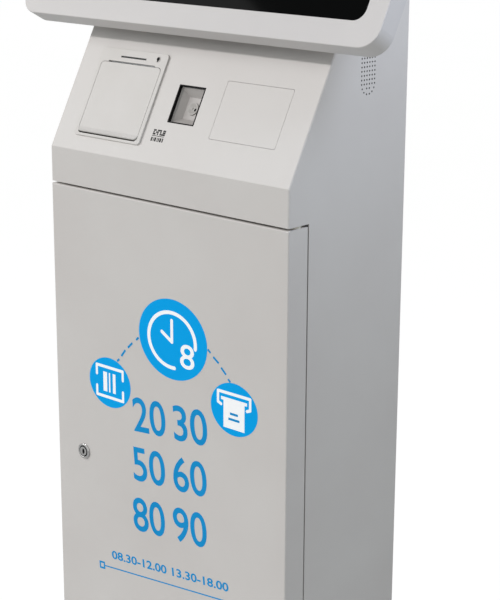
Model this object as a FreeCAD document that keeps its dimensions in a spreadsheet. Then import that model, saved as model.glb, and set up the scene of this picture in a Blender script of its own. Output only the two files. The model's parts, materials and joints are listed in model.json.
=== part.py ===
import FreeCAD, Part
import math
import os
import re
import Sketcher
from FreeCAD import Placement, Rotation, Vector

# Self-service queue ticket kiosk, floor standing. Millimetres, +Z up, front towards -Y.
# Origin: on the floor, at the centre of the cabinet's footprint.
# Pieces on the sloped console use the slope frame: X across, Y up the slope (S), Z out of it (N).

# Driving sizes
SIZES = {
    # Cabinet
    "cabinet_width": 400, "cabinet_depth": 212, "top_depth": 27.8, "seam_height": 860,
    "band_height": 45, "slope_angle": 61.9, "sheet_gauge": 1.5, "fold_radius": 2.5, "kick_height": 60,
    "jamb_setback": 3, "jamb_width": 20, "rear_flange": 15, "rear_sill": 20, "panel_gap": 0.5,
    "fit_gap": 0.2, "cut_margin": 1, "round_margin": 0.1,
    # Base tray and anchors
    "base_gauge": 3, "tray_height": 22, "tray_wall": 2, "anchor_span": 300, "anchor_depth": 100,
    "anchor_radius": 6, "cable_hole_radius": 20, "cable_hole_back": 72,
    # Door
    "door_return": 33, "door_fold": 1.8, "door_gap": 3, "side_gap": 2, "hinge_inset": 9, "hinge_setback": 20,
    "pin_radius": 4, "pin_head_radius": 7, "pin_head_height": 3, "pin_reach": 10, "pin_fit": 0.05,
    "bush_wall": 2, "bush_collar_radius": 8, "bush_length": 4, "bush_end_gap": 0.3,
    "stiffener_spacing": 160, "stiffener_width": 40, "stiffener_height": 12, "stiffener_lip": 10,
    "stiffener_gauge": 1.2, "stiffener_end": 40,
    # Cam lock
    "lock_left": 50, "lock_drop": 354.5, "lock_flange_radius": 10.5, "lock_flange_height": 2,
    "lock_flange_edge": 1, "lock_barrel_radius": 9.3, "lock_barrel_length": 22, "lock_plug_radius": 6,
    "lock_plug_proud": 0.6, "lock_tail_radius": 4, "lock_tail_length": 5, "lock_nut_flats": 24,
    "lock_nut_height": 4, "key_slot_width": 1.8, "key_slot_length": 7, "key_slot_depth": 10,
    "cam_width": 14, "cam_gauge": 2.5, "cam_reach": 36, "cam_clearance": 2, "cam_top": 7,
    "cam_crank": 5, "cam_screw_radius": 1.5, "cam_screw_head": 5, "cam_screw_head_height": 2.5,
    # Rear panel, fan and inlet
    "panel_screw_radius": 2, "panel_screw_head": 4, "panel_screw_head_height": 2.2,
    "panel_screw_length": 6, "panel_screw_edge": 8, "vent_width": 120, "vent_height": 4,
    "vent_pitch": 10, "vent_low": 170, "fan_size": 80, "fan_depth": 25, "fan_drop": 90,
    "fan_bore": 38, "fan_hub": 17, "fan_corner": 4, "fan_axle_radius": 2, "fan_tip_gap": 1,
    "fan_vent_width": 70, "fan_vent_pitch": 8, "fan_strut": 5, "fan_plate": 3, "blade_gauge": 2.5,
    "inlet_right": 120, "inlet_height": 110, "inlet_width": 50, "inlet_tall": 28, "inlet_depth": 30,
    "inlet_flange": 4, "inlet_flange_height": 2, "socket_width": 24, "socket_tall": 16,
    "socket_depth": 18, "socket_wall": 2, "inlet_pin_wide": 2, "inlet_pin_thick": 4,
    "inlet_pin_length": 14, "inlet_pin_pitch": 7, "rocker_width": 13, "rocker_tall": 19,
    "rocker_gap": 0.5, "rocker_proud": 2.5, "rocker_bay": 9, "rocker_axle_radius": 1.5,
    "rocker_end_gap": 1.75, "rocker_shoulder": 2.25, "rocker_dip": 0.8, "rocker_heel": 3,
    # Electronics
    "shelf_height": 470, "shelf_front": 46, "shelf_back": 12, "shelf_flange": 20, "computer_width": 190,
    "computer_depth": 120, "computer_tall": 42, "fin_height": 12, "fin_gauge": 2, "heatsink_base": 4,
    "supply_width": 180, "supply_depth": 98, "supply_tall": 42, "supply_left": 130, "supply_front": 56,
    "terminal_width": 14,
    # Speakers
    "speaker_back": 137.4, "speaker_low": 148.7, "hole_pitch": 4.8, "row_pitch": 5, "hole_radius": 1.1,
    "speaker_width": 40, "speaker_tall": 96, "speaker_depth": 14, "speaker_corner": 10,
    "cone_width": 28, "cone_tall": 82, "cone_recess": 5, "cone_gauge": 1, "cone_gap": 1.5,
    "dome_radius": 9,
    # Ticket printer, in the slope frame
    "printer_x": -106.5, "face_width": 117, "face_low": 19.5, "face_high": 137.4, "face_rise": 2.5,
    "face_corner": 5, "face_edge": 0.6, "lid_width": 104.6, "lid_low": 24.6, "lid_high": 118.5,
    "lid_corner": 5, "lid_gap": 0.6, "lid_under": 1, "lid_ridge": 4.5, "ridge_foot": 30.5,
    "ridge_crest": 25.6, "ridge_lip": 3.4, "hinge_low": 29, "hinge_rise": 1, "lid_pin_radius": 1,
    "lid_pin_bite": 4, "lid_swing_gap": 1.2, "slot_width": 82, "slot_height": 1.6, "bar_width": 44.8,
    "bar_height": 2.3, "bar_rise": 127.2, "bar_x": -106.2, "bar_fit": 0.1, "button_x": -64,
    "button_rise": 129.3, "button_radius": 3.5, "button_proud": 0.6, "button_gap": 0.25,
    "button_travel": 0.8, "button_neck": 2.4, "switch_width": 8, "switch_depth": 4, "switch_post": 1.1,
    "switch_gap": 0.4, "switch_drop": 2.6, "opening_low": 21.6, "opening_high": 134.6,
    "chassis_wall": 1.9, "chassis_gap": 0.3, "chassis_depth": 74, "bulkhead_rise": 96.5,
    "bulkhead_top": 17, "bay_rim": 6, "head_rim": 1.4, "notch_depth": 7, "paper_width": 80,
    "paper_x": -108, "roll_radius": 29, "roll_core": 6.5, "roll_rise": 61, "roll_depth": 41, "spindle_end": 3,
    "running_fit": 0.05, "platen_rise": 110, "platen_depth": 9, "platen_radius": 6, "shaft_radius": 2.5,
    "ear_gauge": 2, "ear_gap": 0.6, "ear_low": 103, "ear_high": 114.5, "ear_drop": 13, "gear_x": -61,
    "gear_module": 1, "gear_width": 4, "gear_slack": 0.2, "idler_axle": 2, "motor_axle": 1.5, "motor_radius": 11.5,
    "motor_length": 18, "motor_wall_x": -66, "motor_wall": 1.5, "motor_wall_top": 31,
    "motor_boss_radius": 3, "head_gap": 1, "head_gauge": 1.2, "head_top": 5, "head_bottom": 22,
    "bracket_gauge": 1.5, "bracket_shelf": 10.5, "cutter_right": -69, "cutter_top": 0.6,
    "cutter_thick": 7.4, "blade_level": 2.5, "blade_thick": 0.8, "blade_slack": 0.1, "blade_depth": 8,
    # Code scanner, in the slope frame
    "window_x": 5.15, "window_rise": 78.5, "window_width": 43.5, "window_tall": 49, "window_fit": 0.2,
    "window_wall": 1.3, "window_proud": 0.3, "window_reveal": 4, "window_flange": 5,
    "window_flange_gauge": 1.5, "funnel_depth": 9, "funnel_floor": 2, "funnel_wall": 2,
    "floor_width": 24, "floor_tall": 28, "lens_radius": 8, "lens_rise": 1.6, "lens_throat": 1.6,
    "lens_fit": 0.2, "lens_mouth": 6.9, "lens_seat": 2.6, "module_width": 36, "module_tall": 42,
    "module_depth": 30,
    # Blank panel, in the slope frame
    "blank_x": 108.75, "blank_rise": 78.75, "blank_width": 103.5, "blank_tall": 73.5, "blank_gap": 0.4,
    "blank_corner": 2, "strap_width": 12, "strap_overlap": 8, "strap_spacing": 44,
    # Touch monitor, in the slope frame
    "monitor_width": 579, "monitor_tall": 376, "monitor_low": 156.4, "monitor_back": 21,
    "monitor_thick": 26, "monitor_corner": 25, "monitor_edge": 1.2, "bezel_side": 27.5,
    "bezel_low": 30.3, "bezel_high": 30, "glass_corner": 15, "glass_lap": 5, "glass_gauge": 3,
    "glass_gap": 0.1, "screen_width": 476, "screen_tall": 268, "screen_frame": 9, "screen_thick": 12,
    "rail_x": 150, "rail_width": 20, "rail_end": 40, "board_width": 150, "board_tall": 90,
    "board_gauge": 1.6, "board_standoff": 3.5, "standoff_radius": 3, "standoff_inset": 6,
    "chip_size": 18, "chip_pitch": 36, "chip_height": 2, "collar_width": 220, "collar_tall": 140,
    "collar_rise": 300, "collar_lip": 15, "collar_screw_inset": 7.5, "cable_window": 12,
    "cover_vent_width": 240, "cover_vent_edge": 50, "collar_screw_radius": 2, "collar_screw_head": 4,
    "collar_screw_head_height": 2.2, "collar_screw_tip": 2,
}

# Gear teeth: one module for the train, so that the three gears mesh; the tooth's sizes are in modules
TOOTH_TIP = 0.9
TOOTH_ROOT = 1.25
TOOTH_SINK = 0.4
TOOTH_HALF_FOOT = 1.0
TOOTH_HALF_TIP = 0.38
PLATEN_TEETH = 12
IDLER_TEETH = 18
PINION_TEETH = 10

# Counts of what repeats
SPEAKER_COLUMNS = 6
SPEAKER_ROWS = 12
FAN_BLADES = 7
VENT_SLOTS = 8
COVER_VENTS = 4
FIN_COUNT = 15
SCREW_ROWS = 4

doc = FreeCAD.newDocument("ticket_kiosk")
sheet = doc.addObject("Spreadsheet::Sheet", "Sizes")
for row, (alias, number) in enumerate(SIZES.items(), 1):
    sheet.set(f"A{row}", alias)
    sheet.set(f"B{row}", str(number))
    sheet.setAlias(f"B{row}", alias)
doc.recompute()

# Places that many pieces share, as formulas of the driving sizes
FRONT = "(-cabinet_depth / 2)"
REAR = "(cabinet_depth / 2)"
SIDE = "(cabinet_width / 2)"
INSIDE = "(cabinet_width / 2 - sheet_gauge)"
BAND_TOP = "(seam_height + band_height)"
TOP_FRONT = f"({REAR} - top_depth)"
TOP = f"({BAND_TOP} + (cabinet_depth - top_depth) * tan(slope_angle))"
RETURN_BACK = f"({FRONT} + door_return)"
SIDE_EDGE = f"({RETURN_BACK} + side_gap)"
JAMB = f"({SIDE_EDGE} + jamb_setback)"
DOOR_LOW = "(kick_height + door_gap)"
DOOR_HIGH = "(seam_height - door_gap)"
HINGE_X = f"({SIDE} - hinge_inset)"
HINGE_Y = f"({FRONT} + hinge_setback)"
LOCK_X = f"(-{SIDE} + lock_left)"
LOCK_Z = "(seam_height - lock_drop)"
PANEL_IN = f"({REAR} - sheet_gauge)"
FLANGE_IN = f"({REAR} - 2 * sheet_gauge)"
SPEAKER_Y = f"({FRONT} + speaker_back)"
SPEAKER_Z = f"(seam_height + speaker_low + row_pitch * {(SPEAKER_ROWS - 1) / 2})"
FAN_Z = f"({TOP} - fan_drop)"
MONITOR_MID = "(monitor_low + monitor_tall / 2)"
MONITOR_FACE = "(monitor_back + monitor_thick)"
GLASS_MID = "((monitor_low + bezel_low + monitor_low + monitor_tall - bezel_high) / 2)"
GLASS_WIDTH = "(monitor_width - 2 * bezel_side)"
GLASS_TALL = "(monitor_tall - bezel_low - bezel_high)"
IDLER_N = f"(platen_depth + gear_module * {(PLATEN_TEETH + IDLER_TEETH) / 2} + gear_slack)"
PINION_N = f"({IDLER_N} + gear_module * {(IDLER_TEETH + PINION_TEETH) / 2} + gear_slack)"
CHASSIS_HALF = "(lid_width / 2 + lid_gap)"
BAY_HALF = f"({CHASSIS_HALF} - chassis_wall)"
CHASSIS_LOW = "(opening_low + chassis_gap)"
CHASSIS_HIGH = "(opening_high - chassis_gap)"


def linked(text):
    """The formula with each size's name turned into a reference to its cell."""
    return re.sub(r"[a-z][a-z_]*[a-z]", lambda m: f"Sizes.{m[0]}" if m[0] in SIZES else m[0], str(text))


def value(text):
    """The formula's number now."""
    return float(sheet.evalExpression(linked(text)))


def bind(thing, path, text):
    thing.setExpression(path, linked(text))


# Bodies, sketches and features

def new_body(label, on_slope=False):
    """An empty body, in the cabinet's frame or the slope's."""
    body = doc.addObject("PartDesign::Body", label)
    body.Label = label
    body.AllowCompound = True
    if on_slope:
        body.Placement = Placement(Vector(0, 0, 0), Rotation(Vector(1, 0, 0), value("slope_angle")))
        bind(body, "Placement.Rotation.Angle", "slope_angle")
        bind(body, "Placement.Base.y", FRONT)
        bind(body, "Placement.Base.z", BAND_TOP)
    return body


def fix_point(sketch, index, corner, x, y):
    """Ties one corner of a line to its place."""
    for kind, text in (("DistanceX", x), ("DistanceY", y)):
        number = sketch.addConstraint(Sketcher.Constraint(kind, -1, 1, index, corner, value(text)))
        bind(sketch, f"Constraints[{number}]", text)


def draw_polygon(sketch, points):
    """A closed outline of straight lines through the points."""
    spots = [Vector(value(x), value(y), 0) for x, y in points]
    first = sketch.GeometryCount
    count = len(points)
    for i in range(count):
        sketch.addGeometry(Part.LineSegment(spots[i], spots[(i + 1) % count]))
    for i in range(count):
        sketch.addConstraint(Sketcher.Constraint("Coincident", first + i, 2, first + (i + 1) % count, 1))
    for i, (x, y) in enumerate(points):
        fix_point(sketch, first + i, 1, x, y)


def draw_circle(sketch, x, y, radius):
    index = sketch.addGeometry(Part.Circle(Vector(value(x), value(y), 0), Vector(0, 0, 1), value(radius)))
    fix_point(sketch, index, 3, x, y)
    number = sketch.addConstraint(Sketcher.Constraint("Radius", index, value(radius)))
    bind(sketch, f"Constraints[{number}]", radius)


def draw_rounded(sketch, x0, x1, y0, y1, radius):
    """A rectangle with round corners: four lines, and an arc between each pair."""
    runs = [((f"{x0} + {radius}", y0), (f"{x1} - {radius}", y0)),
            ((x1, f"{y0} + {radius}"), (x1, f"{y1} - {radius}")),
            ((f"{x1} - {radius}", y1), (f"{x0} + {radius}", y1)), ((x0, f"{y1} - {radius}"),
                    (x0, f"{y0} + {radius}"))]
    first = sketch.GeometryCount
    for start, end in runs:
        ends = [Vector(value(x), value(y), 0) for x, y in (start, end)]
        sketch.addGeometry(Part.LineSegment(*ends))
    centres = [(f"{x1} - {radius}", f"{y0} + {radius}"), (f"{x1} - {radius}", f"{y1} - {radius}"),
               (f"{x0} + {radius}", f"{y1} - {radius}"), (f"{x0} + {radius}", f"{y0} + {radius}")]
    quarter = math.pi / 2
    for i, (x, y) in enumerate(centres):
        circle = Part.Circle(Vector(value(x), value(y), 0), Vector(0, 0, 1), value(radius))
        sketch.addGeometry(Part.ArcOfCircle(circle, (i - 1) * quarter, i * quarter))
    for i in range(4):
        sketch.addConstraint(Sketcher.Constraint("Coincident", first + i, 2, first + 4 + i, 1))
        sketch.addConstraint(Sketcher.Constraint("Coincident", first + 4 + i, 2, first + (i + 1) % 4, 1))
    for i, (start, end) in enumerate(runs):
        fix_point(sketch, first + i, 1, *start)
        fix_point(sketch, first + i, 2, *end)
    for i in range(4):
        number = sketch.addConstraint(Sketcher.Constraint("Radius", first + 4 + i, value(radius)))
        bind(sketch, f"Constraints[{number}]", radius)


def box(x0, x1, y0, y1):
    return ("polygon", [(x0, y0), (x1, y0), (x1, y1), (x0, y1)])


def centred(x, y, width, tall):
    """A rectangle about its centre."""
    return box(f"{x} - ({width}) / 2", f"{x} + ({width}) / 2", f"{y} - ({tall}) / 2", f"{y} + ({tall}) / 2")


def rounded(x, y, width, tall, radius):
    """A round-cornered rectangle about its centre."""
    return ("rounded", f"{x} - ({width}) / 2", f"{x} + ({width}) / 2", f"{y} - ({tall}) / 2",
            f"{y} + ({tall}) / 2", radius)


def circle(x, y, radius):
    return ("circle", x, y, radius)


def polygon(*points):
    return ("polygon", list(points))


DRAW = {"polygon": draw_polygon, "circle": draw_circle, "rounded": draw_rounded}


def new_sketch(body, plane, level, loops):
    """A sketch parallel to one of the body's own planes, at a level along that plane's axis."""
    sketch = body.newObject("Sketcher::SketchObject", f"{body.Name}_sketch")
    support = [f for f in body.Origin.OriginFeatures if f.Role == f"{plane}_Plane"][0]
    sketch.AttachmentSupport = [(support, "")]
    sketch.MapMode = "FlatFace"
    # The XZ plane's own axis points to -Y
    bind(sketch, "AttachmentOffset.Base.z", f"-({level})" if plane == "XZ" else level)
    for kind, *sizes in loops:
        DRAW[kind](sketch, *sizes)
    return sketch


def feature(body, kind, sketch, length, adds):
    """A pad or pocket, checked to add or remove material."""
    before = body.Shape.Volume if body.Tip else 0
    made = body.newObject(f"PartDesign::{kind}", f"{body.Name}_{kind.lower()}")
    made.Profile = sketch
    bind(made, "Length", length)
    doc.recompute()
    change = body.Shape.Volume - before
    if made.State != ["Up-to-date"] or change * adds <= 0:
        raise RuntimeError(f"{body.Label}: {kind} changed the volume by {change:.3f}, state {made.State}")
    return made


def pad(body, plane, start, end, *loops):
    """Adds the loops' area from one level to a higher one."""
    level = end if plane == "XZ" else start
    return feature(body, "Pad", new_sketch(body, plane, level, loops), f"({end}) - ({start})", 1)


def pocket(body, plane, start, end, *loops):
    """Removes the loops' area from one level to a higher one."""
    level = start if plane == "XZ" else end
    return feature(body, "Pocket", new_sketch(body, plane, level, loops), f"({end}) - ({start})", -1)


def slope_pocket(body, depth, *loops):
    """Removes the loops' area from the sloped skin of a body in the cabinet's frame."""
    sketch = new_sketch(body, "XY", "0", loops)
    sketch.AttachmentOffset = Placement(Vector(0, 0, 0), Rotation(Vector(1, 0, 0), value("slope_angle")))
    bind(sketch, "AttachmentOffset.Rotation.Angle", "slope_angle")
    bind(sketch, "AttachmentOffset.Base.y", f"{FRONT} - cut_margin * sin(slope_angle)")
    bind(sketch, "AttachmentOffset.Base.z", f"{BAND_TOP} + cut_margin * cos(slope_angle)")
    return feature(body, "Pocket", sketch, f"{depth} + cut_margin", -1)


def ends(edge):
    return [v.Point for v in edge.Vertexes]


def round_edges(body, radius, wanted):
    """Rounds the edges of the body that the test picks."""
    base = body.Tip
    names = [f"Edge{i}" for i, edge in enumerate(base.Shape.Edges, 1) if wanted(edge)]
    if not names:
        raise RuntimeError(f"{body.Label}: no edge to round")
    made = body.newObject("PartDesign::Fillet", f"{body.Name}_fillet")
    made.Base = (base, names)
    bind(made, "Radius", radius)
    doc.recompute()
    if made.State != ["Up-to-date"]:
        raise RuntimeError(f"{body.Label}: the edges can't be rounded")


def upright(edge):
    """Whether an edge runs along the body's Z axis."""
    return len(edge.Vertexes) == 2 and edge.BoundBox.XLength < 1e-6 and edge.BoundBox.YLength < 1e-6


def flat_at(edge, axis, level):
    """Whether both ends of an edge lie at a level along one axis."""
    return all(abs(getattr(p, axis) - level) < 1e-6 for p in ends(edge))


def gear(label, s, n, teeth, bore, tooth_along_s=False):
    """A spur gear about X: a root disc with one tooth repeated round it."""
    root = f"gear_module * {teeth / 2 - TOOTH_ROOT}"
    tip = f"gear_module * {teeth / 2 + TOOTH_TIP}"
    x0 = "(gear_x - gear_width / 2)"
    x1 = "(gear_x + gear_width / 2)"
    body = new_body(label, on_slope=True)
    bind(body, "Placement.Base.y", f"{FRONT} + ({s}) * cos(slope_angle) - ({n}) * sin(slope_angle)")
    bind(body, "Placement.Base.z", f"{BAND_TOP} + ({s}) * sin(slope_angle) + ({n}) * cos(slope_angle)")
    pad(body, "YZ", x0, x1, circle("0", "0", root), circle("0", "0", bore))
    half_foot = f"gear_module * {TOOTH_HALF_FOOT}"
    half_tip = f"gear_module * {TOOTH_HALF_TIP}"
    foot = f"gear_module * {teeth / 2 - TOOTH_ROOT - TOOTH_SINK}"
    corners = [(f"-{half_foot}", foot), (half_foot, foot), (half_tip, tip), (f"-{half_tip}", tip)]
    if tooth_along_s:
        corners = [(up, across) for across, up in corners]
    tooth = feature(body, "Pad", new_sketch(body, "YZ", x0, [polygon(*corners)]), f"({x1}) - ({x0})", 1)
    repeat_round(body, tooth, "X_Axis", teeth)


def repeat_round(body, made, axis_role, count):
    """Repeats a feature evenly round one of the body's axes."""
    pattern = body.newObject("PartDesign::PolarPattern", f"{body.Name}_round")
    pattern.Originals = [made]
    pattern.Axis = ([f for f in body.Origin.OriginFeatures if f.Role == axis_role][0], [""])
    pattern.Angle = 360
    pattern.Occurrences = count
    body.Tip = pattern


def line_pattern(body, kind_name, axis_role, length, count):
    """An even row along one of the body's axes."""
    pattern = body.newObject("PartDesign::LinearPattern", kind_name)
    pattern.Direction = ([f for f in body.Origin.OriginFeatures if f.Role == axis_role][0], [""])
    bind(pattern, "Length", length)
    pattern.Occurrences = count
    return pattern


def repeat_along(body, made, axis_role, length, count):
    """Repeats a feature in an even row."""
    before = body.Shape.Volume
    pattern = line_pattern(body, f"{body.Name}_row", axis_role, length, count)
    pattern.Originals = [made]
    body.Tip = pattern
    check_change(body, pattern, before)


def repeat_grid(body, made, rows_role, rows_length, rows, columns_role, columns_length, columns):
    """Repeats a feature in an even grid."""
    before = body.Shape.Volume
    grid = body.newObject("PartDesign::MultiTransform", f"{body.Name}_grid")
    grid.Originals = [made]
    grid.Transformations = [line_pattern(body, f"{body.Name}_columns", columns_role, columns_length,
            columns),
                            line_pattern(body, f"{body.Name}_rows", rows_role, rows_length, rows)]
    body.Tip = grid
    check_change(body, grid, before)


def check_change(body, made, before):
    doc.recompute()
    if made.State != ["Up-to-date"] or abs(body.Shape.Volume - before) < 1e-6:
        raise RuntimeError(f"{body.Label}: the pattern changes nothing, state {made.State}")


# Cabinet

def cabinet_shell():
    """Folded and welded sheet: sides, sloped console, front band, kick, jambs and rear flanges."""
    body = new_body("cabinet_shell")
    pad(body, "YZ", f"-{SIDE}", SIDE,
        polygon((FRONT, "0"), (REAR, "0"), (REAR, TOP), (TOP_FRONT, TOP),
                (FRONT, BAND_TOP)))
    rear = value(REAR)
    top = value(TOP)

    def fold(edge):
        """Every edge of the skin but those of the floor, the back and the open rear rim."""
        return not flat_at(edge, "y", rear) and not flat_at(edge, "z", 0) and not flat_at(edge, "z", top)
    round_edges(body, "fold_radius", fold)
    inner_top = f"({TOP} - sheet_gauge)"
    slope_in_y = f"({FRONT} + sheet_gauge)"
    slope_in_z = f"({BAND_TOP} + sheet_gauge * (tan(slope_angle) * (1 - sin(slope_angle)) - cos(slope_angle)))"
    top_in_y = f"({slope_in_y} + ({inner_top} - {slope_in_z}) / tan(slope_angle))"
    pocket(body, "YZ", f"-{INSIDE}", INSIDE,
           polygon((slope_in_y, "-cut_margin"), (f"{REAR} + cut_margin", "-cut_margin"),
                   (f"{REAR} + cut_margin", inner_top), (top_in_y, inner_top), (slope_in_y, slope_in_z)))
    pocket(body, "YZ", f"-{SIDE} - cut_margin", f"{SIDE} + cut_margin",
           box(f"{FRONT} - cut_margin", SIDE_EDGE, "kick_height", "seam_height"))
    across = f"2 * {INSIDE}"
    ledge = f"({JAMB} + sheet_gauge - {slope_in_y})"
    ledge_mid = f"(({JAMB} + sheet_gauge + {slope_in_y}) / 2)"
    pad(body, "XY", "seam_height", "seam_height + sheet_gauge", centred("0", ledge_mid, across, ledge))
    pad(body, "XY", "kick_height - sheet_gauge", "kick_height", centred("0", ledge_mid, across, ledge))
    jamb_x = f"({INSIDE} - jamb_width / 2)"
    jamb_y = f"({JAMB} + sheet_gauge / 2)"
    pad(body, "XY", "kick_height", "seam_height",
        centred(jamb_x, jamb_y, "jamb_width", "sheet_gauge"), centred(f"-{jamb_x}", jamb_y, "jamb_width",
                "sheet_gauge"))
    flange_low = "(rear_sill + rear_flange)"
    pad(body, "XZ", FLANGE_IN, PANEL_IN, box(f"-{INSIDE}", INSIDE, "0", inner_top),
        box(f"-({INSIDE} - rear_flange)", f"({INSIDE} - rear_flange)", flange_low,
            f"({inner_top} - rear_flange)"))
    pad(body, "XZ", PANEL_IN, REAR, box(f"-{INSIDE}", INSIDE, "0", "rear_sill"))
    slope_pocket(body, "sheet_gauge + cut_margin", *slope_openings())
    speaker_holes(body)
    pocket(body, "XY", "seam_height - cut_margin", "seam_height + sheet_gauge + cut_margin",
           circle(HINGE_X, HINGE_Y, "pin_radius + pin_fit"))
    pocket(body, "XY", "kick_height - sheet_gauge - cut_margin", "kick_height + cut_margin",
           circle(HINGE_X, HINGE_Y, "pin_radius + pin_fit"))
    pocket(body, "XZ", f"{FLANGE_IN} - cut_margin", f"{PANEL_IN} + cut_margin",
           *panel_screws("panel_screw_radius + bar_fit"))


def slope_openings():
    """The cut-outs of the sloped skin: printer, scanner, blank panel, cable window and collar screws."""
    opening_mid = "((opening_low + opening_high) / 2)"
    half = f"({CHASSIS_HALF} + chassis_gap)"
    loops = [centred("printer_x", opening_mid, f"2 * {half}", "opening_high - opening_low"),
             centred("window_x", "window_rise", "window_width", "window_tall"),
             rounded("blank_x", "blank_rise", "blank_width", "blank_tall", "blank_corner"),
             centred("0", "collar_rise", "collar_width - 2 * collar_lip - 2 * cable_window",
                     "collar_tall - 2 * collar_lip - 2 * cable_window")]
    return loops + collar_corners("collar_screw_radius + bar_fit")


def collar_corners(radius):
    """One circle at each corner of the monitor's collar."""
    x = "(collar_width / 2 - collar_screw_inset)"
    s = "(collar_tall / 2 - collar_screw_inset)"
    return [circle(f"{a}{x}", f"collar_rise {b} {s}", radius) for a in ("", "-") for b in ("+", "-")]


def speaker_holes(body):
    """Straight rows between two half-round ends, each end a ring of holes with two more inside it."""
    across = (f"-{SIDE} - cut_margin", f"{SIDE} + cut_margin")
    half = f"(hole_pitch * {(SPEAKER_COLUMNS - 1) / 2})"
    low = "(seam_height + speaker_low)"
    high = f"({low} + row_pitch * {SPEAKER_ROWS - 1})"
    hole = pocket(body, "YZ", *across, circle(f"{SPEAKER_Y} - {half}", low, "hole_radius"))
    repeat_grid(body, hole, "Z_Axis", f"row_pitch * {SPEAKER_ROWS - 1}", SPEAKER_ROWS,
                "Y_Axis", f"2 * {half}", SPEAKER_COLUMNS)
    for centre, sign in ((low, "-"), (high, "+")):
        ring = []
        for k in range(1, SPEAKER_COLUMNS + 1):
            turn = 180 * k / (SPEAKER_COLUMNS + 1)
            ring.append(circle(f"{SPEAKER_Y} - {half} * cos({turn})",
                               f"{centre} {sign} {half} * sin({turn})", "hole_radius"))
        for side in ("-", "+"):
            ring.append(circle(f"{SPEAKER_Y} {side} hole_pitch / 2", f"{centre} {sign} row_pitch",
                               "hole_radius"))
        pocket(body, "YZ", *across, *ring)


def base_tray():
    """The floor tray inside the skirt, with four anchor holes and a cable hole."""
    body = new_body("base_tray")
    low = f"({FRONT} + sheet_gauge + fit_gap)"
    high = f"({FLANGE_IN} - fit_gap)"
    half = f"({INSIDE} - fit_gap)"
    middle = f"(({low} + {high}) / 2)"
    depth = f"({high} - {low})"
    pad(body, "XY", "0", "tray_height", centred("0", middle, f"2 * {half}", depth))
    pocket(body, "XY", "base_gauge", "tray_height + cut_margin",
           centred("0", middle, f"2 * {half} - 2 * tray_wall", f"{depth} - 2 * tray_wall"))
    anchors = [circle(f"{a}anchor_span / 2", f"{b}anchor_depth / 2", "anchor_radius") for a in ("", "-")
               for b in ("", "-")]
    pocket(body, "XY", "-cut_margin", "base_gauge + cut_margin",
           circle("0", "cable_hole_back", "cable_hole_radius"), *anchors)


def panel_screws(radius):
    """An even column of places up each side of the rear panel."""
    x = f"({INSIDE} - panel_screw_edge)"
    low = "(rear_sill + panel_screw_edge)"
    high = f"({TOP} - sheet_gauge - panel_screw_edge)"
    return [circle(f"{a}{x}", f"{low} + ({high} - {low}) * {k / (SCREW_ROWS - 1)}", radius)
            for a in ("", "-") for k in range(SCREW_ROWS)]


def rear_panel():
    """The screwed rear panel, with low and high vents and the inlet's cut-out."""
    body = new_body("rear_panel")
    low = "(rear_sill + panel_gap)"
    high = f"({TOP} - sheet_gauge - panel_gap)"
    pad(body, "XZ", PANEL_IN, REAR, box(f"-({INSIDE} - panel_gap)", f"({INSIDE} - panel_gap)", low, high))
    through = (f"{PANEL_IN} - cut_margin", f"{REAR} + cut_margin")
    inlet = centred("inlet_right", "inlet_height", "inlet_width - 2 * inlet_flange",
                    "inlet_tall - 2 * inlet_flange")
    pocket(body, "XZ", *through, inlet, *panel_screws("panel_screw_radius + bar_fit"))
    slot_round = "(vent_height / 2 - round_margin)"
    slot = pocket(body, "XZ", *through, rounded("0", "vent_low", "vent_width", "vent_height", slot_round))
    repeat_along(body, slot, "Z_Axis", f"vent_pitch * {VENT_SLOTS - 1}", VENT_SLOTS)
    fan_low = f"{FAN_Z} - fan_vent_pitch * {(VENT_SLOTS - 1) / 2}"
    slot = pocket(body, "XZ", *through, rounded("0", fan_low, "fan_vent_width", "vent_height", slot_round))
    repeat_along(body, slot, "Z_Axis", f"fan_vent_pitch * {VENT_SLOTS - 1}", VENT_SLOTS)


def rear_panel_screws():
    body = new_body("rear_panel_screws")
    pad(body, "XZ", REAR, f"{REAR} + panel_screw_head_height", *panel_screws("panel_screw_head"))
    pad(body, "XZ", f"{REAR} - panel_screw_length", REAR, *panel_screws("panel_screw_radius"))


def equipment_shelf():
    body = new_body("equipment_shelf")
    half = f"({INSIDE} - fit_gap)"
    low = f"({FRONT} + shelf_front)"
    high = f"({FLANGE_IN} - shelf_back)"
    pad(body, "XY", "shelf_height - shelf_flange", "shelf_height + sheet_gauge",
        box(f"-{half}", half, low, high))
    pocket(body, "XY", "shelf_height - shelf_flange - cut_margin", "shelf_height",
           box(f"-({half} - sheet_gauge)", f"({half} - sheet_gauge)", f"{low} - cut_margin",
               f"{high} + cut_margin"))


def computer():
    """A fanless computer on the shelf: its case, and the finned heatsink that closes it."""
    floor = "(shelf_height + sheet_gauge)"
    middle = f"(({FRONT} + shelf_front + {FLANGE_IN} - shelf_back) / 2)"
    case = new_body("computer_case")
    pad(case, "XY", floor, f"{floor} + computer_tall", centred("0", middle, "computer_width",
            "computer_depth"))
    round_edges(case, "fold_radius", upright)
    top = f"({floor} + computer_tall)"
    sink = new_body("computer_heatsink")
    pad(sink, "XY", top, f"{top} + heatsink_base", centred("0", middle, "computer_width", "computer_depth"))
    fin = pad(sink, "XY", f"{top} + heatsink_base", f"{top} + heatsink_base + fin_height",
              centred("-(computer_width - fin_gauge) / 2", middle, "fin_gauge", "computer_depth"))
    repeat_along(sink, fin, "X_Axis", "computer_width - fin_gauge", FIN_COUNT)


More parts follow.
